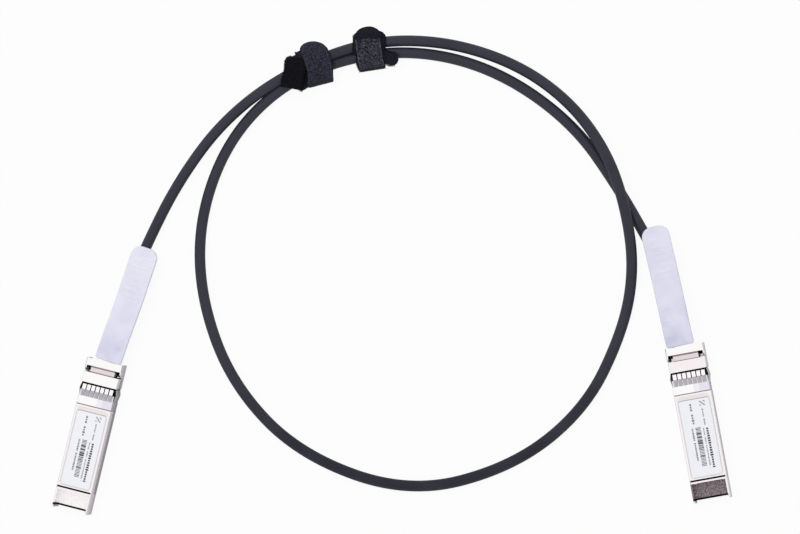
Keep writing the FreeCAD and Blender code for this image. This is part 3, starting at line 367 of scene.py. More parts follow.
class Strap:
    """A flat strap, in millimetres, that follows a line in the plane across the cable.

    Its near end is rounded by round_end. It leans along the cable by slant as it rises, and
    is bent by bow. With a drape it lies on the cable, at the height that the drape gives.
    """

    def __init__(self, width, thickness, corners, round_end, seed, roughness, drape=None,
                 bow=0.0, slant=0.0):
        step = 0.25
        self.width, self.thickness, self.seed = width, thickness, seed
        self.roughness, self.drape, self.bow, self.slant = roughness, drape, bow, slant
        self.points, self.length = smooth_run([Vector((0, *corner)) for corner in corners], step)
        self.round_end = round_end
        self.across = int(width / step)
        self.mesh = bmesh.new()
        self.frames = []
        for number, point in enumerate(self.points):
            before = self.points[max(number - 1, 0)]
            after = self.points[min(number + 1, len(self.points) - 1)]
            way = (after - before).normalized()
            self.frames.append((point, way, Vector((0, -way.z, way.y))))

    def place(self, share, side, lift):
        """A point: share along the strap, side across it, lift off its middle line."""
        edge = abs(side) * self.width / 2
        corner = self.round_end
        inset = 0.0
        if edge > self.width / 2 - corner:
            reach = edge - (self.width / 2 - corner)
            inset = corner - math.sqrt(max(corner ** 2 - reach ** 2, 0.0))
        share = inset / self.length + (1 - inset / self.length) * share
        spot = min(share, 1.0) * (len(self.points) - 1)
        first = min(int(spot), len(self.points) - 2)
        here, there = self.frames[first], self.frames[first + 1]
        point = here[0].lerp(there[0], spot - first)
        out = here[2].lerp(there[2], spot - first).normalized()
        wave = 0.16 * math.sin(0.9 * share * self.length + self.seed) * abs(side) ** 3
        lead = self.slant * (point.z - 6.0) - self.bow * point.y ** 2
        point += Vector((side * self.width / 2 + wave + lead, 0, 0))
        if self.drape:
            point.z = self.drape(point.x, point.y)
            out = Vector((point.z - self.drape(point.x + 0.1, point.y),
                          point.z - self.drape(point.x, point.y + 0.1), 0.1)).normalized()
        return point + out * lift, out

    def weave(self):
        """The strap's own surface: both faces and the edges, with the nap's unevenness."""
        rows, columns, edge_round = len(self.points), self.across, 0.45
        faces = []
        for sign in (1, -1):
            grid = []
            for row in range(rows + 1):
                line = []
                for column in range(columns + 1):
                    side = 2 * column / columns - 1
                    rim = min(1.0, (1 - abs(side)) * self.width / 2 / edge_round,
                              row / rows * self.length / edge_round + 0.02)
                    half = self.thickness / 2 * math.sqrt(max(0.0, 1 - (1 - rim) ** 2))
                    spot, out = self.place(row / rows, side, 0.0)
                    rough = self.roughness * noise.noise(
                        spot * 2.1 + Vector((self.seed, sign, 0)))
                    rough += 0.6 * self.roughness * noise.noise(
                        spot * 0.9 + Vector((0, self.seed, sign)))
                    line.append(self.mesh.verts.new(
                        spot + out * sign * (half + rough * min(rim, 1.0))))
                grid.append(line)
            faces.append(grid)
        sew(self.mesh, *faces)
        return self

    def loops(self, count, size, wire, faces=(1,)):
        """Tiny standing loops of yarn on the strap's faces."""
        draw = random.Random(self.seed)
        for _ in range(count):
            share, side = draw.uniform(0.01, 0.99), draw.uniform(-0.97, 0.97)
            sign = draw.choice(faces)
            spot, out = self.place(share, side, sign * self.thickness * 0.5)
            out = out * sign
            turn, wide = draw.uniform(0, math.tau), size * draw.uniform(0.6, 1.3)
            tall = size * draw.uniform(0.25, 0.7)
            along = Vector((math.cos(turn), math.sin(turn) * out.z, -math.sin(turn) * out.y))
            lean = along.cross(out) * draw.uniform(-0.5, 0.5)
            arch = [spot + along * wide * math.cos(angle) / 2
                    + (out + lean) * (tall * math.sin(angle) - 0.05)
                    for angle in (0, math.pi / 4, math.pi / 2, 3 * math.pi / 4, math.pi)]
            self.yarn(arch, wire, along.cross(out))

    def fibres(self, count, reach, wire, edges_only):
        """Loose ends of yarn that stick out, most of them at the strap's cut edges."""
        draw = random.Random(self.seed + 1)
        for _ in range(count):
            share = draw.uniform(0.0, 1.0)
            side = draw.choice((-1, 1)) * (1 - abs(draw.gauss(0, 0.05 if edges_only else 0.6)))
            side = max(-1.0, min(1.0, side))
            sign = draw.choice((-1, 1))
            spot, out = self.place(share, side, sign * self.thickness * 0.35)
            away = (out * sign * draw.uniform(0.2, 1)
                    + Vector((side * draw.uniform(0.2, 1.2), 0, 0))
                    + Vector([draw.uniform(-0.5, 0.5) for _ in range(3)])).normalized()
            long = reach * draw.uniform(0.35, 1.0)
            bend = Vector([draw.uniform(-0.4, 0.4) for _ in range(3)])
            spine = [spot + away * long * t + bend * long * t * t for t in (0, 0.5, 1)]
            self.yarn(spine, wire, Vector([draw.uniform(-1, 1) for _ in range(3)]))

    def yarn(self, spine, wire, aside):
        """A three-sided thread along spine."""
        rings = []
        for number, point in enumerate(spine):
            way = spine[min(number + 1, len(spine) - 1)] - spine[max(number - 1, 0)]
            one = way.cross(aside).normalized() * wire / 2
            two = way.cross(one).normalized() * wire / 2
            rings.append([self.mesh.verts.new(point + one * math.cos(angle)
                                              + two * math.sin(angle))
                          for angle in (0, math.tau / 3, 2 * math.tau / 3)])
        for low, high in zip(rings, rings[1:]):
            for side in range(3):
                self.mesh.faces.new((low[side], low[(side + 1) % 3], high[(side + 1) % 3],
                                     high[side]))

    def lay(self, name, side, offset, turn, material):
        """Makes the strap an object on the bundle: offset along the cable, turned by turn."""
        for vertex in self.mesh.verts:
            vertex.co.z = max(vertex.co.z, 0.0)
            vertex.co *= MM
        self.mesh.normal_update()
        piece = smooth_piece(name, self.mesh)
        piece.data.materials.append(material)
        x, y, lean = TIES[side]
        spot = Matrix.Rotation(math.radians(lean), 3, "Z") @ Vector((*offset, 0))
        piece.location = (Vector((x, y, 0)) + spot) * MM
        piece.rotation_euler = (0, 0, math.radians(lean + turn))
        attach(piece, "cable_and_modules")
        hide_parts(side + "_tie")


def nap_finish(name, ground, fleck, share, glint, width=0.0, bow=0.0, head=99.0,
               base=-99.0):
    """Brushed nylon: dark ground with paler yarn scattered over it, and a soft sheen.

    Beyond head, in the strap's own millimetres, the yarn lies flat and stays dark. A strap
    that has a width is welded and dark along its border, with a paler seam just inside.
    """
    nap = Finish(bpy.data.materials.new(name))
    place = nap.places()
    across, along, _ = nap.split(place)
    down = along * 1000.0
    yarn, wear = nap.noise(place, 1750.0, 3.0, 0.6), nap.noise(place, 380.0, 2.0)
    tufts = nap.node("TexVoronoi", {"feature": "F1"}, {"Vector": place, "Scale": 1900.0})[0]
    lit = nap.ramp(yarn, (0.43, (0, 0, 0)), (0.62, (1, 1, 1)))
    upright = down < wear * 3.0 + (head - 1.5)
    amount = (lit * 0.8 + (tufts < 0.3) * 0.35) * (wear * 0.7 + 0.5) * share
    amount = amount * (upright * 0.88 + 0.12)
    if width:
        round_end, border, seam_width, seam_tone = 4.4, 0.3, 0.45, 0.24
        beyond = nap.math("MAXIMUM", down - round_end, 0.0)
        off = across * 1000.0 + along * along * (bow * 1e6)
        out = nap.math("POWER", off * off + beyond * beyond, 0.5)
        clear = (out < width / 2 - border) * (down > base)
        seam = (out > width / 2 - border - seam_width) * clear
        amount = amount * clear + seam * upright * seam_tone
    shade = nap.mix(amount, ground, fleck)
    bump = nap.bump(yarn * 0.7 + tufts * 0.3, 0.7, 0.2)
    return nap.skin({
        "Base Color": shade, "Roughness": 0.85, "Specular IOR Level": glint, "Normal": bump,
        "Sheen Weight": 0.1, "Sheen Roughness": 0.5, "Sheen Tint": (0.5, 0.5, 0.62)})


def ties():
    """Four pieces of strap for each tie, from corners of their lines across the cable."""
    loop_side = nap_finish("loop_nap", (0.0075, 0.0075, 0.0135), (0.055, 0.055, 0.088), 1.0, 0.2,
                           9.7, 0.026, base=-6.4)
    worn_side = nap_finish("worn_loop_nap", (0.0055, 0.0055, 0.0105), (0.105, 0.105, 0.14), 0.95,
                           0.15, 9.7, head=3.9, base=-6.6)
    hook_side = nap_finish("hook_nap", (0.0035, 0.0035, 0.005), (0.012, 0.012, 0.017), 0.6, 0.1)
    edge_side = nap_finish("edge_nap", (0.006, 0.006, 0.011), (0.022, 0.021, 0.034), 0.8, 0.15)
    under = [(-6.7, 1.6), (-5.5, 0.7), (-2.5, 0.58), (1.5, 0.56), (4.0, 0.62), (5.35, 1.3),
             (5.55, 2.9), (5.2, 4.5), (4.0, 5.3)]

    over = [(9.0, 3.9), (7.6, 4.8), (5.6, 6.1), (3.2, 7.05), (0, 7.25), (-3.2, 7.0),
            (-5.4, 5.6), (-6.6, 3.6)]
    band = Strap(9.7, 0.95, over + under, 4.7, 3, 0.08, bow=0.026, slant=0.15).weave()
    band.loops(2600, 0.3, 0.07)
    band.lay("left_tie_band", "left", (1.7, 0), 1, loop_side)

    fold = [(6.4, 2.6), (6.5, 3.9), (5.6, 5.3), (3.4, 6.1), (1.0, 6.25), (-1.0, 6.25)]
    inner = Strap(5.6, 0.8, fold, 1.6, 17, 0.12).weave()
    inner.fibres(1400, 0.35, 0.08, True)
    inner.lay("left_tie_inner_turn", "left", (-2.7, -0.1), 6, edge_side)

    slack = [(5.2, 4.6), (3.4, 5.7), (0, 6.0), (-3.0, 5.9), (-5.2, 4.9), (-6.3, 3.3),
             (-6.3, 1.7), (-5.2, 0.75), (-2.5, 0.6), (1.5, 0.6), (4.2, 0.8), (5.4, 1.7),
             (5.5, 3.3), (5.0, 4.4)]
    turn = Strap(5.2, 0.8, slack, 0.8, 7, 0.2).weave()
    turn.fibres(1200, 0.5, 0.08, True)
    turn.lay("left_tie_second_turn", "left", (-6.8, -0.6), 15, hook_side)

    spot, angle = (-7.9, -0.9), -23
    drape = draped(spot, angle, (-11.1, -2.9), 15.5, 3.4, 4.7, 1.2, 6.85)
    flap = Strap(7.6, 0.8, [(5.7, 0), (-0.2, 0), (-6.0, 0)], 1.4, 9, 0.2, drape).weave()
    flap.fibres(2600, 0.45, 0.08, True)
    flap.fibres(3000, 0.4, 0.08, False)
    flap.lay("left_tie_flap", "left", spot, angle, hook_side)

    over = [(8.7, 3.8), (7.2, 4.8), (5.6, 5.8), (3.2, 6.55), (0, 6.7), (-3.4, 6.45),
            (-5.5, 5.2), (-6.7, 3.4)]
    band = Strap(9.7, 1.0, over + under, 4.7, 11, 0.1, slant=0.12).weave()
    band.loops(2400, 0.36, 0.08)
    band.fibres(700, 0.4, 0.08, True)
    band.lay("right_tie_band", "right", (1.0, 0), 0.5, worn_side)

    fold = [(7.0, 3.6), (5.8, 4.6), (3.6, 5.4), (1.4, 5.6), (-1.0, 5.65)]
    head = Strap(12.0, 0.8, fold, 3.2, 23, 0.1).weave()
    head.fibres(1800, 0.35, 0.08, True)
    head.lay("right_tie_head", "right", (0.9, 0), -6, edge_side)

    rim = [(3.0, 5.5), (0, 5.7), (-3.2, 5.65), (-5.4, 4.7), (-6.4, 3.0), (-6.4, 1.6)]
    inner = Strap(9.4, 0.8, rim, 0.8, 29, 0.14).weave()
    inner.fibres(900, 0.35, 0.08, True)
    inner.lay("right_tie_inner_turn", "right", (0.3, 0), 0, hook_side)

    spot, angle = (6.0, -3.3), -108
    drape = draped(spot, angle, (0, -2.15), 0, 0.0, 4.7, 1.2, 5.9)
    tail = Strap(4.5, 0.7, [(5.3, 0), (1.0, 0), (-3.0, 0)], 2.3, 5, 0.16, drape).weave()
    tail.fibres(1500, 0.5, 0.08, True)
    tail.fibres(900, 0.35, 0.08, False)
    tail.lay("right_tie_tail", "right", spot, angle, edge_side)


ties()


# ---- The pull tabs ----
# A soft white moulding over the end of each steel yoke: level behind the bar, then bent down
# to lie on the cable, with round far corners and faint grip ribs. It moves with the yoke.

def tab_line(along):
    """Height of the tab's underside and its slope, at a distance behind the bar."""
    level, drop, start, run = 7.05, 2.4, 3.15, 24.0
    share = min(max((along - start) / run, 0.0), 1.0)
    return level - drop * share * share * (3 - 2 * share), -6 * drop / run * share * (1 - share)


def pull_tab(side, shift, swing, stress_rings):
    """One tab as a closed sheet whose edges are rounded all the way round its outline."""
    length, width, thickness, gap = 44.2, 10.1, 1.3, 0.15
    far_round, near_round, edge_round = 3.8, 1.1, 0.42
    rib_pitch, rib_count, rib_end, rib_half, rib_reach, rib_height = 2.3, 7, 5.4, 0.42, 3.4, 0.16
    dish_depth, ring_height = 0.10, 0.07

    def inside(across, along):
        """How far a point lies inside the tab's outline."""
        corner = near_round if along < length / 2 else far_round
        x = abs(across) - (width / 2 - corner)
        y = abs(along - length / 2) - (length / 2 - corner)
        return corner - math.hypot(max(x, 0), max(y, 0)) - min(max(x, y), 0)

    def relief(across, along):
        """The low ribs, the shallow dish at the bar, and the marks of bending."""
        height = 0.0
        from_end = length - along
        for rib in range(rib_count):
            spread = abs(from_end - rib_end - rib * rib_pitch) / rib_half
            if spread < 1 and abs(across) < rib_reach:
                ends = min(1.0, (rib_reach - abs(across)) / 0.8)
                height += rib_height * (1 - spread * spread) ** 2 * ends
        height -= dish_depth * math.exp(-((along - 11) / 7) ** 2 - (across / 2.6) ** 2)
        if stress_rings:
            radius = math.hypot(across - 1.0, from_end + 2.0)
            height += (ring_height * math.sin(radius * 3.2)
                       * math.exp(-((radius - 6.0) / 2.4) ** 2))
        return height

    rows, columns = 190, 48
    mesh = bmesh.new()
    grids = []
    for sign in (1, -1):
        grid = []
        for row in range(rows + 1):
            along = (length * (1 - math.cos(math.pi * row / rows)) / 2 * 0.35
                     + length * row / rows * 0.65)
            corner = near_round if along < length / 2 else far_round
            reach = max(corner - min(along, length - along), 0.0)
            half = width / 2 - corner + math.sqrt(max(corner ** 2 - reach ** 2, 0.0))
            line = []
            for column in range(columns + 1):
                across = half * math.sin(math.pi * (column / columns - 0.5))
                depth = min(max(inside(across, along), 0.0), edge_round)
                rim = edge_round - math.sqrt(
                    max(edge_round ** 2 - (edge_round - depth) ** 2, 0.0))
                under, slope = tab_line(along + gap)
                tall = sign * (thickness / 2 - rim)
                if sign > 0:
                    tall += relief(across, along) * min(depth / edge_round, 1.0)
                line.append(mesh.verts.new((across, along + gap - tall * slope,
                                            under + thickness / 2 + tall)))
            grid.append(line)
        grids.append(grid)
    sew(mesh, *grids)
    bmesh.ops.dissolve_degenerate(mesh, dist=0.0005, edges=mesh.edges[:])
    plug_length = 56.5
    turned = Matrix.Rotation(-math.radians(swing), 3, "Z")
    for vertex in mesh.verts:
        spot = turned @ vertex.co + Vector((shift, plug_length, 0))
        vertex.co = in_module(side, *spot)
    bmesh.ops.recalc_face_normals(mesh, faces=mesh.faces[:])
    piece = smooth_piece(side + "_grip", mesh)
    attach(piece, side + "_release")
    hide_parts(side + "_pull_tab")
    return piece


def tab_finish():
    """Milky soft plastic: a cool white, faintly orange-peeled, with painted shade that greys it
    towards the bars and on the right-hand tab.
    """
    milk = Finish(bpy.data.materials.new("milky_tab"))
    place = milk.places()
    cloud, peel = milk.noise(place, 130.0, 3.0), milk.noise(place, 1400.0, 1.0)
    aside, away, _ = milk.split(place)
    # painted shade: greyer towards the bars, and greyer on the right-hand module's tab than on the
    # left
    shade = milk.ramp(cloud + away * 9.5 - aside * 0.9, (0.0, (0.62, 0.62, 0.78)),
                      (0.3, (0.76, 0.755, 0.90)), (0.7, (0.84, 0.835, 0.955)))
    return milk.skin({
        "Base Color": shade, "Roughness": 0.34 + cloud * 0.12, "Specular IOR Level": 0.4,
        "Subsurface Weight": 0.15, "Subsurface Scale": 1.2 * MM,
        "Subsurface Radius": (1.0, 0.9, 1.0), "Normal": milk.bump(peel, 0.15, 0.03)})


milky = tab_finish()
for side, shift, swing, rings in (("left", 1.0, 5.0, True), ("right", -1.1, -2.6, False)):
    pull_tab(side, shift, swing, rings).data.materials.append(milky)


# ---- The die-cast halves ----
# Zinc castings, blasted and plated with nickel: a tray below and a lid above. The lid's
# sunken hood keeps the coarse blasted skin, and its rear band is polished bright. The tones
# also hold painted light: shaded flanks, black painted shadow in gaps and recesses, and a
# hood whose painted reflection is pale on one module and dark on the other.

def soften(node, material, edge, sharpness=32):
    """Gives a rigid part of the frame its finish, and breaks its sharp edges."""
    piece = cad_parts[node]
    weld = piece.modifiers.new("one_skin", "WELD")
    weld.merge_threshold = 0.002 * MM
    merge = piece.modifiers.new("whole_faces", "DECIMATE")
    merge.decimate_type = "DISSOLVE"
    merge.angle_limit = math.radians(0.4)
    bevel = piece.modifiers.new("broken_edges", "BEVEL")
    bevel.width = edge * MM
    bevel.segments = 2
    bevel.limit_method = "ANGLE"
    bevel.angle_limit = math.radians(sharpness)
    bevel.harden_normals = True
    piece.material_slots[0].material = material


def on_module(finish, side):
    """Places on one module, in its own millimetres: across, along and height."""
    x, y, lean = MODULES[side]
    local = finish.node("Mapping", {"vector_type": "TEXTURE"}, {
        "Vector": finish.places(), "Location": (x, y, 0), "Rotation": (0, 0, -math.radians(lean)),
        "Scale": (MM, MM, MM)})[0]
    return local, *finish.split(local)


def plated(name, side, colour, roughness, zones, coarse=0.0):
    """Nickel plate: a fine grain and faint clouds, then zones of other tones, in turn, among them
    painted shade, shadow and reflection.

    A zone is its ranges across, along and in height, its two tones, and how much rougher it
    is. Between the two tones it is speckled, as coarsely as coarse says.
    """
    plate = Finish(bpy.data.materials.new(name))
    local, across, along, height = on_module(plate, side)
    fine, cloud = plate.noise(local, 5.0, 3.0), plate.noise(local, 0.22, 2.0)
    pits = plate.noise(local, coarse or 2.6, 3.0, 0.7)
    shade = plate.mix(cloud, [0.93 * part for part in colour], colour)
    rough = roughness + (fine - 0.5) * 0.1 + (cloud - 0.5) * 0.08
    relief = fine
    for ranges, dark, light, more in zones:
        there = None
        for value, (start, end) in zip((across, along, height), ranges):
            inside = (value > start) * (value < end)
            there = inside * there if there else inside
        shade = plate.mix(there, shade, plate.ramp(pits, (0.36, dark), (0.62, light)))
        rough = rough + there * more
        if coarse:
            relief = relief + there * pits * 2.0 * more
    return plate.skin({"Base Color": shade, "Metallic": 1.0, "Roughness": rough,
                       "Normal": plate.bump(relief, 0.25, 0.02)})


# Every place, and what lies between the two flanks. Black for painted shadow in gaps and
# recesses. Then the tones of each module: two for its hood, a painted reflection that is pale
# on one module and dark on the other, and two for its band, lit brighter on one module as
# painted light, and one for each flank, of the lid, the tray and the yoke, as painted shade
# on the side faces.
ALL, TOP = (-99.0, 99.0), (-6.55, 6.55)
PAINTED_SHADOW = (0.008, 0.007, 0.008)
HOOD_PAINTED_REFLECTIONS = {"left": ((0.88, 0.82, 0.83), (1.0, 1.0, 0.99)),
         "right": ((0.045, 0.035, 0.042), (0.37, 0.30, 0.32))}
BAND_PLATE_AND_PAINTED_LIGHT = {"left": ((0.96, 0.93, 0.93), (0.98, 0.96, 0.96)),
         "right": ((0.90, 0.84, 0.86), (0.94, 0.88, 0.90))}
PAINTED_FLANK_SHADE = {"left": ((0.80, 0.77, 0.80), (0.42, 0.40, 0.42), (0.60, 0.58, 0.60)),
          "right": ((0.95, 0.92, 0.93), (0.60, 0.58, 0.59), (0.80, 0.78, 0.79))}
for side, (dark, light) in HOOD_PAINTED_REFLECTIONS.items():
    shaded_lid_flank, shaded_tray_flank, _ = PAINTED_FLANK_SHADE[side]
    # the flank beside the hood, darker again as painted shade
    painted_nose_shade = [0.82 * part for part in shaded_lid_flank]
    tray = plated(side + "_cast_tray", side, shaded_tray_flank, 0.34, [
        # inside the band and the neck, then the gap in front of the band, both black as painted
        # shadow
        ((TOP, (47.3, 99.0), (2.0, 9.0)), PAINTED_SHADOW, PAINTED_SHADOW, 0.2),
        ((TOP, (44.7, 47.6), ALL), PAINTED_SHADOW, PAINTED_SHADOW, 0.2)])
    soften(side + "_lower_shell", tray, 0.1)
    lid = plated(side + "_cast_lid", side, shaded_lid_flank, 0.3, [
        # the top face, the collar's groove, greyer as painted shade, and the gap in front of the
        # band, black as painted shadow
        ((TOP, ALL, (8.2, 9.0)), (0.92, 0.85, 0.86), (0.96, 0.90, 0.90), 0.0),
        ((TOP, (41.9, 44.8), ALL), (0.75, 0.72, 0.74), (0.80, 0.77, 0.79), 0.0),
        ((TOP, (44.7, 47.6), ALL), PAINTED_SHADOW, PAINTED_SHADOW, 0.2),
        # the band, the neck behind it, the band's rear edge, darkened as painted shade along the
        # step, and the neck under the bar, darkened as the bar's painted shadow
        ((TOP, (47.5, 51.38), ALL), *BAND_PLATE_AND_PAINTED_LIGHT[side], 0.0),
        ((TOP, (51.38, 99.0), ALL), (0.76, 0.69, 0.71), (0.82, 0.74, 0.76), 0.1),
        ((TOP, (51.36, 51.62), ALL), (0.27, 0.24, 0.24), (0.32, 0.28, 0.28), 0.1),
        ((TOP, (53.2, 99.0), ALL), (0.27, 0.22, 0.21), (0.32, 0.27, 0.26), 0.1),
        # the hood, in tones that are its painted reflection, the flank beside it, darker as
        # painted shade, and its front edge and the groove behind its lip, black as painted shadow
        (((-6.66, 6.05), (0.85, 7.05), ALL), dark, light, 0.12),
        (((6.6, 9.0), (-1.0, 9.2), (-1.0, 4.9)), painted_nose_shade, painted_nose_shade, 0.0),
        (((-6.6, 6.2), (0.85, 1.7), ALL), PAINTED_SHADOW, PAINTED_SHADOW, 0.2),
        (((-6.5, 6.3), (7.7, 8.35), ALL), PAINTED_SHADOW, PAINTED_SHADOW, 0.2)], coarse=2.6)
    soften(side + "_upper_cover", lid, 0.1)


# ---- The spring-finger collars ----
# One strip of stamped and bowed steel sheet round each module. Its fingers press on the
# walls of the cage that the module slides into, and so earth the housing.

for side in MODULES:
    # the collar's sides take the tray's flank tone, painted shade
    fingers = plated(side + "_stamped_collar", side, PAINTED_FLANK_SHADE[side][1], 0.2, [
        # the top, and its front strip, cooler in two steps towards one side as a painted
        # reflection
        ((TOP, ALL, (7.5, 9.5)), (0.97, 0.94, 0.95), (0.98, 0.96, 0.97), 0.0),
        (((0.8, 6.55), (38.0, 42.4), (8.0, 9.5)), (0.84, 0.82, 0.89), (0.88, 0.86, 0.93), 0.0),
        (((2.8, 6.55), (38.0, 42.4), (8.0, 9.5)), (0.76, 0.74, 0.83), (0.80, 0.78, 0.87), 0.0),
        # the rising half of the fingers, greyer as painted shade, their tips, black as painted
        # shadow, and the strip's front edge, darkened as painted shade
        ((TOP, (42.4, 44.9), (8.0, 9.5)), (0.37, 0.35, 0.39), (0.52, 0.49, 0.54), 0.1),
        ((TOP, (46.85, 47.3), (8.0, 9.5)), PAINTED_SHADOW, PAINTED_SHADOW, 0.2),
        ((TOP, (38.5, 39.45), (8.0, 9.5)), (0.22, 0.20, 0.20), (0.28, 0.25, 0.25), 0.1)])
    soften(side + "_emi_collar", fingers, 0.03, 50)


# ---- The release yokes ----
# Bent steel sheet, nickel plated: a bar over the back of the module, two side plates, and
# a tongue in the channel underneath that lifts the cage's latch when the tab is pulled.

for side in MODULES:
    # the yoke's side plates take its flank tone, painted shade
    sheet_steel = plated(side + "_yoke_plate", side, PAINTED_FLANK_SHADE[side][2], 0.24, [
        # the bar's top, and what lies below it between the side plates, black as painted shadow
        (((-6.7, 6.7), ALL, (7.3, 9.0)), (0.95, 0.92, 0.92), (0.98, 0.96, 0.95), 0.0),
        (((-6.2, 6.2), (52.7, 56.4), (-1.0, 7.3)), PAINTED_SHADOW, (0.03, 0.025, 0.025), 0.2)])
    soften(side + "_release_yoke", sheet_steel, 0.08)


# ---- The labels ----
# Coated white paper in a shallow recess of the lid, with round corners. The print is only
# plain shapes: rows of short strokes, a block of bars, a few slanted ones and a thin border.

def printed_paper(side):
    """The paper and its print, laid out in millimetres down from the label's rear edge."""
    width, length, front, corner, margin = 11.6, 29.4, 8.9, 1.1, 1.1
    paper = Finish(bpy.data.materials.new(side + "_printed_paper"))
    local, across, along, _ = on_module(paper, side)
    down = front + length - along

    def window(value, low, high):
        return (value > low) * (value < high)

    def chance(cell):
        """A number from 0 to 1 for each cell."""
        return paper.node("TexWhiteNoise", {"noise_dimensions": "1D"}, {"W": cell})[0]

    def row(middle, tall, start, end, stretch, share, seed):
        """A row of print: strokes of uneven length and height along one line."""
        cell = paper.math("FLOOR", down * stretch)
        stroke = down * stretch - cell < 0.74
        reach = (chance(cell + seed * 3.0) * 0.5 + 0.5) * (tall / 2)
        inked = (abs(across - middle) < reach) * (chance(cell + seed) < share)
        return window(down, start, end) * inked * stroke

    bars = chance(paper.math("FLOOR", down * 3.4) + 5.0) < 0.3
    tick = down * 1.9 - paper.math("FLOOR", down * 1.9) < 0.5
    ink = (bars + tick) * window(down, 11.6, 25.5) * window(across, -1.2, 0.65) * 0.85
    # middle, tall, start, end, strokes to a millimetre, share of them, seed and strength
    for *strokes, strength in (
            (3.0, 1.2, 12.0, 26.6, 1.15, 0.93, 4.0, 0.95),
            (1.7, 0.6, 12.0, 26.4, 1.9, 0.85, 9.0, 0.7),
            (-2.3, 0.75, 11.6, 23.4, 1.6, 0.88, 17.0, 0.8),
            (2.5, 0.65, 5.0, 11.2, 1.7, 0.85, 23.0, 0.7),
            (-1.5, 1.1, 2.6, 10.2, 1.05, 0.8, 31.0, 0.75)):
        ink = ink + row(*strokes) * strength
    slanted = paper.math("SINE", (down - across) * 4.2)
    ink = ink + (slanted > 0.1) * window(down, 2.2, 4.1) * window(across, 1.8, 3.9) * 0.6

    side_gap = abs(across) - (width / 2 - corner)
    end_gap = abs(down - (length + margin) / 2) - ((length - margin) / 2 - corner)
    out_x, out_y = paper.math("MAXIMUM", side_gap, 0.0), paper.math("MAXIMUM", end_gap, 0.0)
    round_part = paper.math("SQRT", out_x * out_x + out_y * out_y)
    straight = paper.math("MINIMUM", paper.math("MAXIMUM", side_gap, end_gap), 0.0)
    depth = corner - round_part - straight
    border = window(depth, 0.0, 0.34) * (0.22 + (down < margin + 0.5) * 0.3)
    ink = paper.node("Math", {"operation": "MAXIMUM", "use_clamp": True}, {0: ink, 1: border})[0]

    fibre = paper.noise(local, 3.0, 4.0)
    sheet = paper.ramp(fibre, (0.3, (0.925, 0.93, 0.995)), (0.7, (0.97, 0.975, 1.0)))
    sheet = paper.mix(down < margin, sheet, (0.90, 0.83, 0.84))
    return paper.skin({
        "Base Color": paper.mix(ink, sheet, (0.018, 0.018, 0.034)),
        "Roughness": 0.42 + fibre * 0.1, "Specular IOR Level": 0.4,
        "Normal": paper.bump(fibre, 0.1, 0.01)})


for side in MODULES:
    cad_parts[side + "_label"].material_slots[0].material = printed_paper(side)


# ---- The release springs ----
# Two coils of round spring wire lie in pockets beside the yoke's tongue. They push the yoke
# forwards, and are squeezed against the pockets' rear walls when the tab is pulled.

def release_springs(side):
    """Both springs of a module: four open turns, with the last turn at each end closed up."""
    front, rear, spread, height = 45.0, 50.35, 4.25, 2.0
    radius, wire, turns, closed = 0.72, 0.30, 4, 0.75
    mesh = bmesh.new()
    steps, ring = 132, 8
    for middle in (-spread, spread):
        rows = []
        for step in range(steps + 1):
            turned = step / steps * (turns + 2 * closed)
            angle = turned * math.tau
            open_share = min(max((turned - closed) / turns, 0.0), 1.0)
            start_shift = min(turned, closed) / closed * wire * 0.5
            end_shift = max(turned - closed - turns, 0.0) / closed * wire * 0.5
            pitch_room = rear - front - 2 * wire
            along = front + wire / 2 + start_shift + open_share * pitch_room + end_shift
            out = Vector((math.cos(angle), 0, math.sin(angle)))
            spot = Vector((middle, along, height)) + out * radius
            rows.append([mesh.verts.new(in_module(side, *(
                spot + out * wire / 2 * math.cos(turn)
                + Vector((0, wire / 2 * math.sin(turn), 0)))))
                for turn in (math.tau * number / ring for number in range(ring))])
        for low, high in zip(rows, rows[1:]):
            for number in range(ring):
                after = (number + 1) % ring
                mesh.faces.new((low[number], low[after], high[after], high[number]))
        mesh.faces.new(rows[0])
        mesh.faces.new(rows[-1])
    bmesh.ops.recalc_face_normals(mesh, faces=mesh.faces[:])
    piece = smooth_piece(side + "_coils", mesh)
    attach(piece, "cable_and_modules")
    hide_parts(side + "_release_springs")
    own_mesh(piece)
    return piece


def spring_wire():
    """Bright drawn steel, with the fine unevenness that the die leaves."""
    wire = Finish(bpy.data.materials.new("spring_wire"))
    drawn = wire.noise(wire.places(), 4000.0, 2.0)
    shade = wire.ramp(drawn, (0.3, (0.50, 0.49, 0.48)), (0.7, (0.62, 0.61, 0.60)))
    return wire.skin({"Base Color": shade, "Metallic": 1.0, "Roughness": 0.25 + drawn * 0.1})


coil_steel = spring_wire()
for side in MODULES:
    release_springs(side).data.materials.append(coil_steel)


# ---- The circuit boards, their contacts and what is soldered to them ----
# Green glass-fibre boards whose narrow paddle, with gold-plated contacts, fits the host's
# socket. A memory chip, small capacitors and the cable's pairs are soldered on.

def solder_mask(side):
    """Green lacquer over copper tracks that run from the contacts to the cable's pairs."""
    mask = Finish(bpy.data.materials.new(side + "_solder_mask"))
    local, across, along, _ = on_module(mask, side)
    pitch, paddle_end = 0.8, 5.0
    weave = mask.noise(local, 2.2, 3.0)
    track = mask.math("FRACT", across / pitch + 0.5)
    track = (abs(track - 0.5) < 0.16) * (along > paddle_end)
    bare = mask.ramp(weave, (0.3, (0.010, 0.085, 0.035)), (0.7, (0.016, 0.115, 0.05)))
    shade = mask.mix(track * 0.7, bare, (0.03, 0.20, 0.085))
    return mask.skin({"Base Color": shade, "Roughness": 0.28 + weave * 0.12,
                      "Normal": mask.bump(track + weave * 0.2, 0.3, 0.03)})


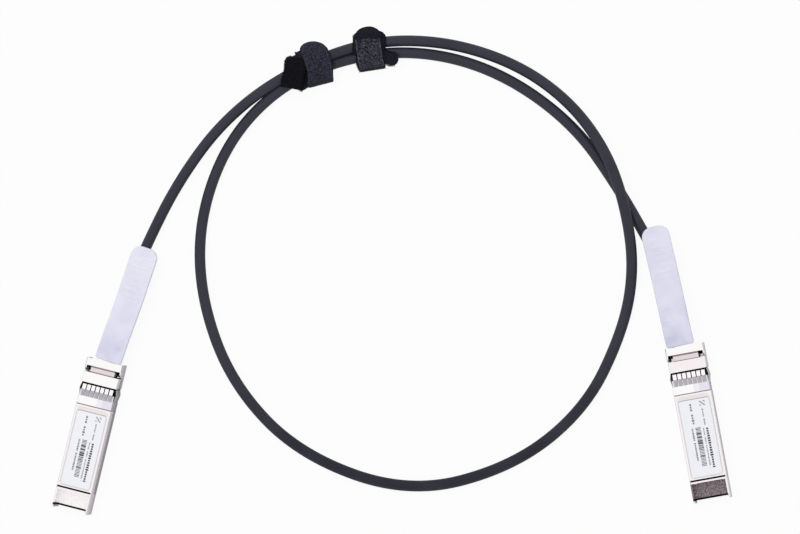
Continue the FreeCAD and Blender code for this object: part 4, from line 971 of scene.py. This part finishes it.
def plain_finish(name, low, high, scale, roughness, metallic=0.0, bump_depth=0.0):
    """A finish that changes only a little, at one scale, over its surface."""
    skin = Finish(bpy.data.materials.new(name))
    spots = skin.noise(skin.places(), scale, 3.0)
    return skin.skin({
        "Base Color": skin.ramp(spots, (0.3, low), (0.7, high)), "Metallic": metallic,
        "Roughness": roughness + spots * 0.12, "Normal": skin.bump(spots, 0.3, bump_depth)})


def part_finish(side):
    """Black moulded chip in front, and pale capacitors with tinned ends behind it."""
    moulding = Finish(bpy.data.materials.new(side + "_soldered_parts"))
    local, _, along, _ = on_module(moulding, side)
    row_front, row_middle, bare_half = 22.0, 23.0, 0.3
    speck = moulding.noise(local, 4.0, 2.0)
    behind = along > row_front
    tinned = behind * (abs(along - row_middle) > bare_half)
    chip = moulding.ramp(speck, (0.3, (0.012, 0.012, 0.013)), (0.7, (0.022, 0.022, 0.024)))
    shade = moulding.mix(behind, chip, (0.33, 0.22, 0.13))
    shade = moulding.mix(tinned, shade, (0.72, 0.72, 0.71))
    return moulding.skin({"Base Color": shade, "Metallic": tinned,
                          "Roughness": 0.4 + speck * 0.1})


gold = plain_finish("gold_plate", (0.80, 0.52, 0.19), (0.90, 0.61, 0.25), 2500.0, 0.2, 1.0)
foil = plain_finish("pair_foil", (0.52, 0.53, 0.55), (0.68, 0.69, 0.71), 1800.0, 0.28, 1.0, 0.04)
for side in MODULES:
    soften(side + "_circuit_board", solder_mask(side), 0.06)
    soften(side + "_board_parts", part_finish(side), 0.05)
    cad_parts[side + "_contact_pads"].material_slots[0].material = gold
    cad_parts[side + "_twinax_cores"].material_slots[0].material = foil


# ---- The ferrules and the screws ----
# A tinned brass ferrule, crimped on the cable's braid, is caught by its flange between the
# halves. Two countersunk steel screws from underneath clamp the halves together.

tin = plain_finish("tinned_brass", (0.60, 0.58, 0.53), (0.72, 0.70, 0.65), 900.0, 0.3, 1.0, 0.03)
zinc = plain_finish("screw_plate", (0.55, 0.55, 0.57), (0.70, 0.70, 0.72), 3000.0, 0.26, 1.0, 0.02)
for side in MODULES:
    soften(side + "_crimp_ferrule", tin, 0.06)
    soften(side + "_shell_screws", zinc, 0.04)


# ---- Finish of what is in the frame ----

bpy.context.view_layer.update()
